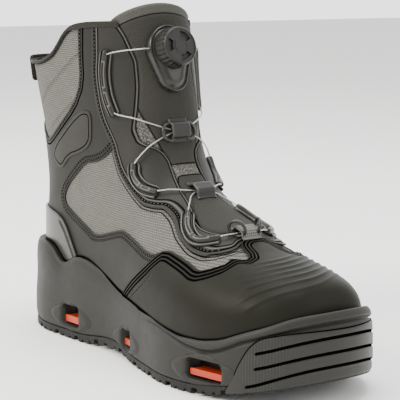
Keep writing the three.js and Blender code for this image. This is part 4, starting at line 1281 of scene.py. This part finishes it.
def insole(lining):
    tree = ray_tree(lining)
    rows = []
    for u in np.linspace(0.005, 0.985, 120):
        y, z = from_heel(u), between(INSOLE_TOP, u) * LAST_HEIGHT
        origin = Vector(in_scene([0.0, y, z]))
        ends = [tree.ray_cast(origin, (side, 0, 0), 0.08)[0] for _, side in SIDES]
        if any(end is None for end in ends):
            continue
        low, high = (end.x / METRE - SHIFT[0] for end in ends)
        if high - low > 6:
            rows.append((y, z, low + 0.2, high - 0.2))
    rows = np.array(rows)
    t = np.linspace(-1, 1, 61)
    middle, half = (rows[:, 2] + rows[:, 3]) / 2, (rows[:, 3] - rows[:, 2]) / 2
    x = middle[:, None] + half[:, None] * t[None]
    y = np.broadcast_to(rows[:, :1], x.shape)
    cup = 1.6 * smoothstep(0.75, 1.0, np.abs(t))[None]
    z = rows[:, 1:2] + cup - 0.6
    data = with_fields(np.stack([x, y, z], axis=-1), [0.0, 0.0, 1.0])
    paint = celled(Paint("insole_cloth", LINING_DARK, 0.9, sheen=0.1, specular=0.2), 1.2, 0.7, 1.3, 0.15)
    add_shell("insole", data, facing_out(data, grid_faces(*x.shape, False).tolist()), 3.5, 0.3, 4,
              paint.done(), "insole_fabric", replaces=["insole"], pad=0.6)


def webbing_paint(name, colour, roughness, pitch=1.6):
    paint = Paint(name, colour, roughness, specular=0.25)
    warp = paint.wave(paint.field("across"), pitch)
    weft = paint.wave(paint.field("run"), pitch)
    cloth = paint.math("MULTIPLY", warp, weft)
    paint.shade(cloth, 1.2 - roughness, 0.8 + roughness)
    paint.raise_by(cloth, 0.25 * roughness)
    return paint


def heel_tab():
    paint = Paint("pull_webbing", PULL_DARK, 1.0, specular=0.0)
    x, _, z = paint.place()
    cloth = paint.both(paint.wave(paint.math("ADD", x, z), 2.2),
                       paint.wave(paint.math("SUBTRACT", x, z), 2.2))
    paint.shade(cloth, 0.4, 1.7)
    paint.raise_by(cloth, 0.25)

    def trimmed(surface):
        return least(TAB_REACH - np.abs(surface.x), surface.z - TAB_LOW * LAST_HEIGHT,
                     TAB_HIGH * LAST_HEIGHT - surface.z)

    last_sheet("heel_tab", np.linspace(14.5, LAST_STATION, 90), np.radians(np.linspace(125, 235, 120)),
               TAB_THICKNESS + 1.6, trimmed, TAB_THICKNESS + 1.2, paint.done(), "webbing", bulge=2.0,
               rings=8, closed=True, replaces=["heel_tab"])


# Dial
def from_dial(points):
    """Points on the last from their places across, up and out from the dial's seat."""
    front, up, out = front_axes(DIAL_STATION)
    points = np.asarray(points, float)
    return front + points[..., :1] * ACROSS + points[..., 1:2] * up + points[..., 2:] * out


def housing_outline(turn, inset):
    """The drop: a circle that runs down to a smaller one."""
    lean = math.asin((HOUSING_RADIUS - HOUSING_TIP_RADIUS) / HOUSING_TIP_DROP)
    big = abs(signed(turn - math.pi / 2)) <= math.pi / 2 + lean
    radius = (HOUSING_RADIUS if big else HOUSING_TIP_RADIUS) - inset
    return radius * math.cos(turn), radius * math.sin(turn) - (0 if big else HOUSING_TIP_DROP)


def dial_housing():
    profile = [(-0.5, -7.0), (-0.4, 2.0), (0.0, 4.6), (0.4, 5.3), (0.9, 5.5), (1.4, 5.1), (1.8, 4.4),
               (2.3, 4.6), (3.2, 5.6), (4.4, 6.5), (5.8, 7.1), (7.4, 7.45), (9.2, 7.55)]
    count = 288
    rows = [(*housing_outline(turn, inset), height) for inset, height in profile for turn in turns(count)]
    faces = grid_faces(len(profile), count, True).tolist() + end_faces(len(profile), count)
    paint = moulded_paint("dial_shell", DIAL_DARK, 0.3, coat=0.35)
    add_piece("dial_housing", from_dial(rows), faces, paint.done(), "dial_plastic",
              replaces=["dial_housing"])


def dial_knob():
    base = HOUSING_HEIGHT + FIT
    top = base + DIAL_HEIGHT
    teeth = 24
    flat = top - 0.9
    count = 480
    turn = turns(count)
    count = 480
    turn = np.linspace(0, 2 * math.pi, count + 1)[:-1]
    wave = np.abs(np.cos(turn * teeth / 2)) ** 0.7
    levels = [(1.2, base - 3.0, 0), (0.4, base - 1.4, 0), (0.0, base + 0.4, 0.4), (-0.1, base + 1.2, 1.0),
              (0.0, base + 4.5, 1.0), (0.5, base + 8.0, 1.0), (0.9, top - 2.6, 0.8), (1.1, top - 1.8, 0.2),
              (1.4, top - 0.9, 0.0), (2.0, top - 0.2, 0.0), (2.6, top, 0.0), (3.1, flat, 0.0)]
    levels += [(inset, flat, 0.0) for inset in np.linspace(3.4, DIAL_RADIUS - 0.4, 34)]
    rows = []
    for inset, height, tooth in levels:
        radius = DIAL_RADIUS - inset - 0.8 * tooth * (1 - wave)
        z = np.full(count, height)
        if height == flat:
            for i in range(3):
                swing = signed(turn - (math.radians(55) + i * 2 * math.pi / 3))
                slot = smoothstep(0.50, 0.42, np.abs(swing)) * smoothstep(2.0, 1.5, np.abs(radius - 8.3))
                z = z - 1.8 * slot
            z = z + 0.5 * smoothstep(5.2, 4.6, radius)
        rows.append(np.stack([radius * np.cos(turn), radius * np.sin(turn), z], axis=-1))
    points = np.array(rows).reshape(-1, 3)
    faces = grid_faces(len(rows), count, True).tolist() + end_faces(len(rows), count)[1:]
    paint = moulded_paint("dial_grip", DIAL_DARK, 0.42, coat=0.12, grain=0.03)
    # Painted shade in the floors of the three sunk slots: colour painted dark 0.9 to 3 mm under the top
    # face, which also darkens that band round the knob's side.
    height = paint.field("height")
    sunk = paint.both(paint.below(height, flat - 0.9, 0.3), paint.above(height, flat - 3, 0.2))
    paint.blend(sunk, PAINTED_SHADE)
    add_piece("dial_knob", from_dial(points), faces, paint.done(), "dial_plastic",
              {"height": points[:, 2]}, replaces=["dial_knob"])


# Guides, straps and lace
GUIDE_LIFT = EYESTAY_RISE + GUIDE_GAP + GUIDE_RADIUS


def on_last(path, side, lift, count):
    """Evenly spaced points through stations and degrees, and the normals there."""
    stations, degrees = np.array(path, float).T
    angles = np.radians(degrees) * side
    controls = off_last(stations, angles, lift)
    keys = lengths(controls)
    normals = sampled(last_normal(stations, angles), np.linspace(0, 1, count) * keys[-1], keys)
    return curve_through(controls, count), unit(normals)


GUIDE_SECTION = [
    (-4.6, -3.2), (-4.9, -2.2), (-4.5, -1.3), (-3.9, -1.1), (-3.4, -1.5), (-3.1, -2.5), (-2.3, -2.6),
    (-2.1, -1.2), (-1.7, 0.4), (-0.9, 1.3), (0.0, 1.5),
]


def guides():
    section_ = np.array(GUIDE_SECTION + [(-w, h) for w, h in GUIDE_SECTION[-2::-1]])
    for name, path in LACE_GUIDES:
        for side_name, side in SIDES:
            points, normals = on_last(path, side, GUIDE_LIFT, 90)
            share = np.linspace(0, 1, 90)
            swell = np.clip(1 - np.abs(2 * share - 1) ** 12, 0.0, 1) ** 0.5
            narrowing = np.stack([0.45 + 0.55 * swell, 0.55 + 0.45 * swell], axis=-1)
            profile = section_[None] * narrowing[:, None]
            profile[..., 1] -= 0.5 * (1 - swell[:, None])
            node = f"lace_guide_{name}_{side_name}"
            paint = moulded_paint(node + "_plastic", GUIDE_DARK, 0.36, coat=0.2)
            away = paint.math("ABSOLUTE", paint.field("across"))
            paint.blend(paint.band(away, 4.2, 0.25, 0.25), LIGHT_TRIM, 0.45)
            # Painted shade: a dark band in the hollow between the flange and the body.
            paint.blend(paint.band(away, 2.8, 0.6, 0.2), PAINTED_SHADE)
            run = paint.field("run")
            length = float(lengths(points)[-1])
            for low, high in ((0.16, 0.56), (0.62, 0.84)):
                middle, half = length * (low + high) / 2, length * (high - low) / 2
                rim = paint.both(paint.band(away, 0.0, 1.35, 0.2), paint.band(run, middle, half, 0.5))
                paint.blend(rim, LIGHT_TRIM, 0.5)
                # Painted shade: each slot is painted dark and sunk.
                slot = paint.both(paint.band(away, 0.0, 0.75, 0.2),
                                  paint.band(run, middle, half - 0.9, 0.4))
                paint.groove(slot, 0.8, dull=False)
            sweep(node, points, normals, profile, paint.done(), "guide_plastic", replaces=[node])


def bridge(name, station, lift, colour, light, gloss):
    front, up, out = front_axes(station)
    half = TUNNEL_LENGTH / 2
    high = lift + TUNNEL_DEPTH + STRAP_THICKNESS / 2
    low = lift + STRAP_THICKNESS / 2
    side_view = [(-half - STRAP_FOOT, low - 0.6), (-half - 1.6, low), (-half * 0.8, high - 0.3), (0, high),
                 (half * 0.8, high - 0.3), (half + 1.6, low), (half + STRAP_FOOT, low - 0.6)]
    controls = np.array([front + up * along + out * rise for along, rise in side_view])
    points = curve_through(controls, 70)
    along = unit(np.gradient(points, axis=0))
    normals = unit(np.cross(ACROSS, along))
    if normals[35] @ out < 0:
        normals = -normals
    half_width, half_thick, corner = STRAP_WIDTH / 2, STRAP_THICKNESS / 2, 0.5
    flat = np.linspace(-half_width + corner, half_width - corner, 16)
    top = [(w, half_thick) for w in flat]
    profile = (top + [(half_width - 0.15, half_thick - 0.15), (half_width, 0.0),
                      (half_width - 0.15, 0.15 - half_thick)]
               + [(w, -half_thick) for w in flat[::-1]]
               + [(0.15 - half_width, 0.15 - half_thick), (-half_width, 0.0),
                  (0.15 - half_width, half_thick - 0.15)])
    paint = webbing_paint(name + "_webbing", colour, gloss)
    edge = paint.band(paint.math("ABSOLUTE", paint.field("across")), half_width, 1.0, 0.3)
    paint.blend(edge, light, 0.6)
    sweep(name, points, normals, profile, paint.done(), "webbing", replaces=[name])


def straps():
    strap_lift = TONGUE_BULGE + FIT + STRAP_LIFT
    for name, station in STRAP_STATIONS:
        bridge("tongue_strap_" + name, station, strap_lift, WEB_DARK, BINDING_GREY, 0.4)
    bridge("toe_loop", TOE_LOOP_STATION, EYESTAY_RISE + FIT, WEB_LIGHT, BINDING_GREY, 0.8)


def add_ring(name, middle, across, up, radii, tube, paint):
    sides = 12
    count = 48
    turn = turns(count)[:, None, None]
    swing = turns(sides)[None, :, None]
    out = np.cos(turn) * across + np.sin(turn) * up
    spine = middle + radii[0] * np.cos(turn) * across + radii[1] * np.sin(turn) * up
    axis = np.cross(across, up)
    points = spine + tube * (np.cos(swing) * out + np.sin(swing) * axis)
    faces = [(i * sides + j, ((i + 1) % count) * sides + j, ((i + 1) % count) * sides + (j + 1) % sides,
              i * sides + (j + 1) % sides) for i in range(count) for j in range(sides)]
    add_piece(name, points.reshape(-1, 3), faces, paint, "guide_plastic")


def lace_rings():
    """Moulded eyes at the mouths of the tongue strap and of the toe loop."""
    paint = moulded_paint("eye_plastic", GUIDE_DARK, 0.3, coat=0.3).done()
    for side_name, side in SIDES:
        sideways = ACROSS * side
        front, up, out = front_axes(STRAP_STATIONS[0][1])
        middle = front + out * (TONGUE_BULGE + 2.6) + sideways * (STRAP_WIDTH / 2 + 0.8) - up
        add_ring("strap_eye_" + side_name, middle, ACROSS, up, (4.8, 5.8), 1.2, paint)
        front, up, out = front_axes(TOE_LOOP_STATION)
        middle = front + out * (EYESTAY_RISE + 5.0) + sideways * (STRAP_WIDTH / 2 + 1.0)
        add_ring("loop_eye_" + side_name, middle, unit(up + sideways * 0.5), out, (6.0, 5.0), 1.1, paint)


def collar_binding():
    paint = celled(Paint("binding_cloth", EYESTAY_COAT, 0.7, specular=0.15), 1.2, 0.7, 1.3, 0.1)

    def trimmed(surface):
        collar = collar_height(surface.y) - surface.z
        return np.minimum(edge_of(surface), 1.3 + 1.9 * smoothstep(74, 64, surface.y) - collar)

    last_sheet("collar_binding", np.linspace(13.5, LAST_STATION, 230), turns(300), 1.3, trimmed, 1.4,
               paint.done(), "upper_fabric", bulge=0.5, rings=5)


def guide_end(index, side, last):
    """Where the lace leaves a guide, a little in from its end, with the station and angle there."""
    path = np.array(LACE_GUIDES[index][1], float)
    points, _ = on_last(path, side, GUIDE_LIFT - 0.3, 60)
    at = points[-GUIDE_MOUTH] if last else points[GUIDE_MOUTH - 1]
    station, degrees = path[-1 if last else 0]
    return at, station, math.radians(degrees) * side


def lace_half(end, station, lift, shift=0.0, pass_over=0.0):
    at, start, angle = end
    middle_lift = lift + TUNNEL_DEPTH / 2
    front, up, out = front_axes(station)
    _, _, lateral, medial, form = section(np.array(float(station)))
    side = math.copysign(1.0, angle)
    width = float(medial if side > 0 else lateral)
    mouth = side * math.asin(((STRAP_WIDTH / 2 + 1.5) / width) ** (float(form[1]) / 2))

    def over(share):
        return off_last(start + (station - start) * share, angle + (mouth - angle) * share,
                        GUIDE_LIFT + (middle_lift - GUIDE_LIFT) * share)

    return [at, over(0.45) + up * shift * 0.5, off_last(station, mouth, middle_lift) + up * shift,
            front + out * (middle_lift + pass_over)]


def lace_path():
    """The whole lace, from one side of the dial round through the guides to the other."""
    def crossing(index, side, station, lift):
        there = lace_half(guide_end(index, side, True), station, lift, MOUTH_SHIFT, side * LACE_RADIUS)
        back = lace_half(guide_end(index + 1, -side, False), station, lift, -MOUTH_SHIFT)
        return there + back[:-1][::-1]

    def through(index, side, forward):
        points, _ = on_last(LACE_GUIDES[index][1], side, GUIDE_LIFT - 0.3, 60)
        points = points[GUIDE_MOUTH + 5:-GUIDE_MOUTH - 5:8]
        return list(points if forward else points[::-1])

    def dial_end(side):
        start = guide_end(0, side, False)
        beside = [from_dial([[side * (HOUSING_RADIUS + gap), 1, HOUSING_HEIGHT * 0.6]])[0]
                  for gap in (-3.0, FIT, 2 * GUIDE_RADIUS)]
        return beside + [start[0]]

    strap_lift = TONGUE_BULGE + FIT
    loop_lift = EYESTAY_RISE + FIT
    upper, lower = STRAP_STATIONS[0][1], STRAP_STATIONS[1][1]
    toe = lace_half(guide_end(2, -1, True), TOE_LOOP_STATION, loop_lift)
    toe += lace_half(guide_end(2, 1, True), TOE_LOOP_STATION, loop_lift)[:-1][::-1]
    route = dial_end(-1) + through(0, -1, True)
    route += crossing(0, -1, upper, strap_lift) + through(1, 1, True)
    route += crossing(1, 1, lower, strap_lift) + through(2, -1, True)
    route += toe + through(2, 1, False)
    route += crossing(1, -1, lower, strap_lift)[::-1] + through(1, -1, False)
    route += crossing(0, 1, upper, strap_lift)[::-1] + through(0, 1, False)
    return route + dial_end(1)[::-1]


def lace():
    points = curve_through(lace_path(), 1500)
    along = unit(np.gradient(points, axis=0))
    normals = unit(np.cross(along, np.cross(np.array([0.3, -0.9, 0.3]), along)))
    ring = [(LACE_RADIUS * math.cos(t), LACE_RADIUS * math.sin(t)) for t in turns(10)]
    paint = Paint("lace_cable", (0.50, 0.495, 0.46), 0.35, metallic=0.8, specular=0.5)
    twist = paint.wave(paint.math("MULTIPLY_ADD", paint.field("across"), 1.6, paint.field("run")), 1.2)
    paint.shade(twist, 0.65, 1.1)
    paint.raise_by(twist, 0.12)
    sweep("lace", points, normals, ring, paint.done(), "lace_wire",
          replaces=["lace_cross_upper", "lace_cross_lower", "lace_toe", "lace_top_lateral",
                    "lace_top_medial"])


# Stitching
def offset_outline(shape, distance, pitch):
    """Evenly spaced points outside a side view outline, or inside it for a negative distance."""
    after, before = np.roll(shape, -1, axis=0), np.roll(shape, 1, axis=0)
    along = unit(after - before)
    out = np.stack([along[:, 1], -along[:, 0]], axis=-1)
    turned = shape[:, 0] * after[:, 1] - after[:, 0] * shape[:, 1]
    if turned.sum() < 0:
        out = -out
    line = shape + out * distance
    line = np.concatenate([line, line[:1]])
    return sampled(line, np.arange(0, lengths(line)[-1], pitch))


def stitching(name, seams, material, length=1.7, radius=0.33):
    """Short threads on the seams: a carrier piece, an outline and its distance."""
    points, faces = [], []
    ring = 6
    for carrier, shape, distance in seams:
        tree = ray_tree(pieces[carrier])
        line = offset_outline(shape, distance, STITCH_PITCH)
        for _, side in SIDES:
            hits = []
            for y, z in line:
                origin = Vector(in_scene([side * 200.0, y, z]))
                place, normal, _, _ = tree.ray_cast(origin, (-side, 0, 0), 0.199)
                good = place is not None and normal.x * side > 0.2
                hits.append((np.array(place) / METRE - SHIFT, np.array(normal)) if good else None)
            for here, there in zip(hits, hits[1:] + hits[:1]):
                if here is None or there is None:
                    continue
                along = there[0] - here[0]
                reach = np.linalg.norm(along)
                if reach > STITCH_PITCH * 2.2 or reach < 0.4 * STITCH_PITCH:
                    continue
                along = along / reach
                across = unit(np.cross(along, here[1]))
                out = np.cross(across, along)
                start = len(points)
                for share, swell, lift in ((-0.5, 0.45, -0.12), (-0.25, 1, 0.12), (0.25, 1, 0.12),
                                           (0.5, 0.45, -0.12)):
                    middle = (here[0] + there[0]) / 2 + along * share * length + out * lift
                    for turn in turns(ring):
                        way = across * math.cos(turn) + out * math.sin(turn)
                        points.append(middle + radius * swell * way)
                made = grid_faces(4, ring, True).tolist() + end_faces(4, ring)
                faces += [[start + c for c in face] for face in made]
    add_piece(name, points, faces, material, "upper_fabric")


def all_stitching():
    thread = Paint("thread", THREAD, 0.6, specular=0.3)
    thread.shade(thread.noise(1.5), 0.8, 1.2)
    seams = [("quarter_overlay", quarter_shape, distance) for distance in QUARTER_SEAMS]
    seams += [("quarter_overlay", rear_shape, QUARTER_SEAMS[0]), ("eyestay", eyestay_shape, -EYESTAY_SEAM)]
    stitching("stitching", seams, thread.done())


upper_body()
lining = upper_lining()
quarter_overlay()
eyestay()
ankle_patches()
vamp_overlay()
heel_counter()
tongue()
midsole()
toe_bumper()
outsole()
plugs()
insole(lining)
heel_tab()
dial_housing()
dial_knob()
guides()
straps()
lace_rings()
lace()
collar_binding()
all_stitching()

# Floor, light and camera
GROUND = (0.95, 0.95, 0.94)
floor_mesh = bpy.data.meshes.new("floor")
floor_mesh.from_pydata([(-6, -6, 0), (6, -6, 0), (6, 6, 0), (-6, 6, 0)], [], [(0, 1, 2, 3)])
floor = linked("floor", floor_mesh)
floor.location.z = -0.0002
floor_mesh.materials.append(Paint("floor_paper", GROUND, 0.9, specular=0.1).done())


# Name, place, height of the target, size, power and colour
LIGHTS = [
    ["key", (-1.45, 0.35, 1.2), 0.1, 0.9, 42, (1.0, 0.97, 0.89)],
    ["fill", (0.9, -1.7, 0.9), 0.1, 1.4, 13, (1.0, 1.0, 1.0)],
    ["back", (-0.5, 1.6, 1.1), 0.12, 1.2, 8, (1.0, 1.0, 1.0)],
    ["top", (0.1, 0.0, 1.9), 0.1, 1.4, 38, (1.0, 1.0, 1.0)],
]


def look_along(thing, way):
    thing.rotation_mode = "QUATERNION"
    thing.rotation_quaternion = way.to_track_quat("-Z", "Y")


for name, place, target, size, power, colour in LIGHTS:
    light = bpy.data.lights.new(name, "AREA")
    light.shape = "DISK"
    light.size = size
    light.energy = power
    light.color = colour
    lamp = linked(name, light)
    lamp.location = place
    look_along(lamp, Vector((0, 0, target)) - Vector(place))
world = bpy.data.worlds.new("studio")
world.use_nodes = True
bpy.context.scene.world = world
sky = world.node_tree.nodes["Background"]
sky.inputs["Color"].default_value = (1.0, 1.0, 1.0, 1.0)
facing = world.node_tree.nodes.new("ShaderNodeVectorMath")
facing.operation = "DOT_PRODUCT"
facing.inputs[1].default_value = (0.60, 0.80, 0.0)
around = world.node_tree.nodes.new("ShaderNodeTexCoord")
level = map_range(world.node_tree, (0.1, 0.85, 1.05, 2.55), "SMOOTHSTEP")
world.node_tree.links.new(around.outputs["Generated"], facing.inputs[0])
world.node_tree.links.new(facing.outputs["Value"], level.inputs["Value"])
world.node_tree.links.new(level.outputs["Result"], sky.inputs["Strength"])

# The photograph's view: degrees and millimetres from the middle of the sole
VIEW_AZIMUTH = -36.5
VIEW_ELEVATION = 8.8
VIEW_DISTANCE = 1000.0
VIEW_TARGET = np.array([13.0, 0.0, 106.0])
FOCAL_PIXELS = 1440.0
FRAME_PIXELS = 400.0
SENSOR = 36.0
turn, lift = math.radians(VIEW_AZIMUTH), math.radians(VIEW_ELEVATION)
back = np.array([math.sin(turn) * math.cos(lift), -math.cos(turn) * math.cos(lift), math.sin(lift)])
camera_data = bpy.data.cameras.new("view")
camera_data.sensor_width = SENSOR
camera_data.lens = SENSOR * FOCAL_PIXELS / FRAME_PIXELS
camera_data.clip_start = 0.01
camera = linked("view", camera_data)
camera.location = in_scene(VIEW_TARGET + back * VIEW_DISTANCE)
look_along(camera, Vector((-back).tolist()))
bpy.context.scene.camera = camera
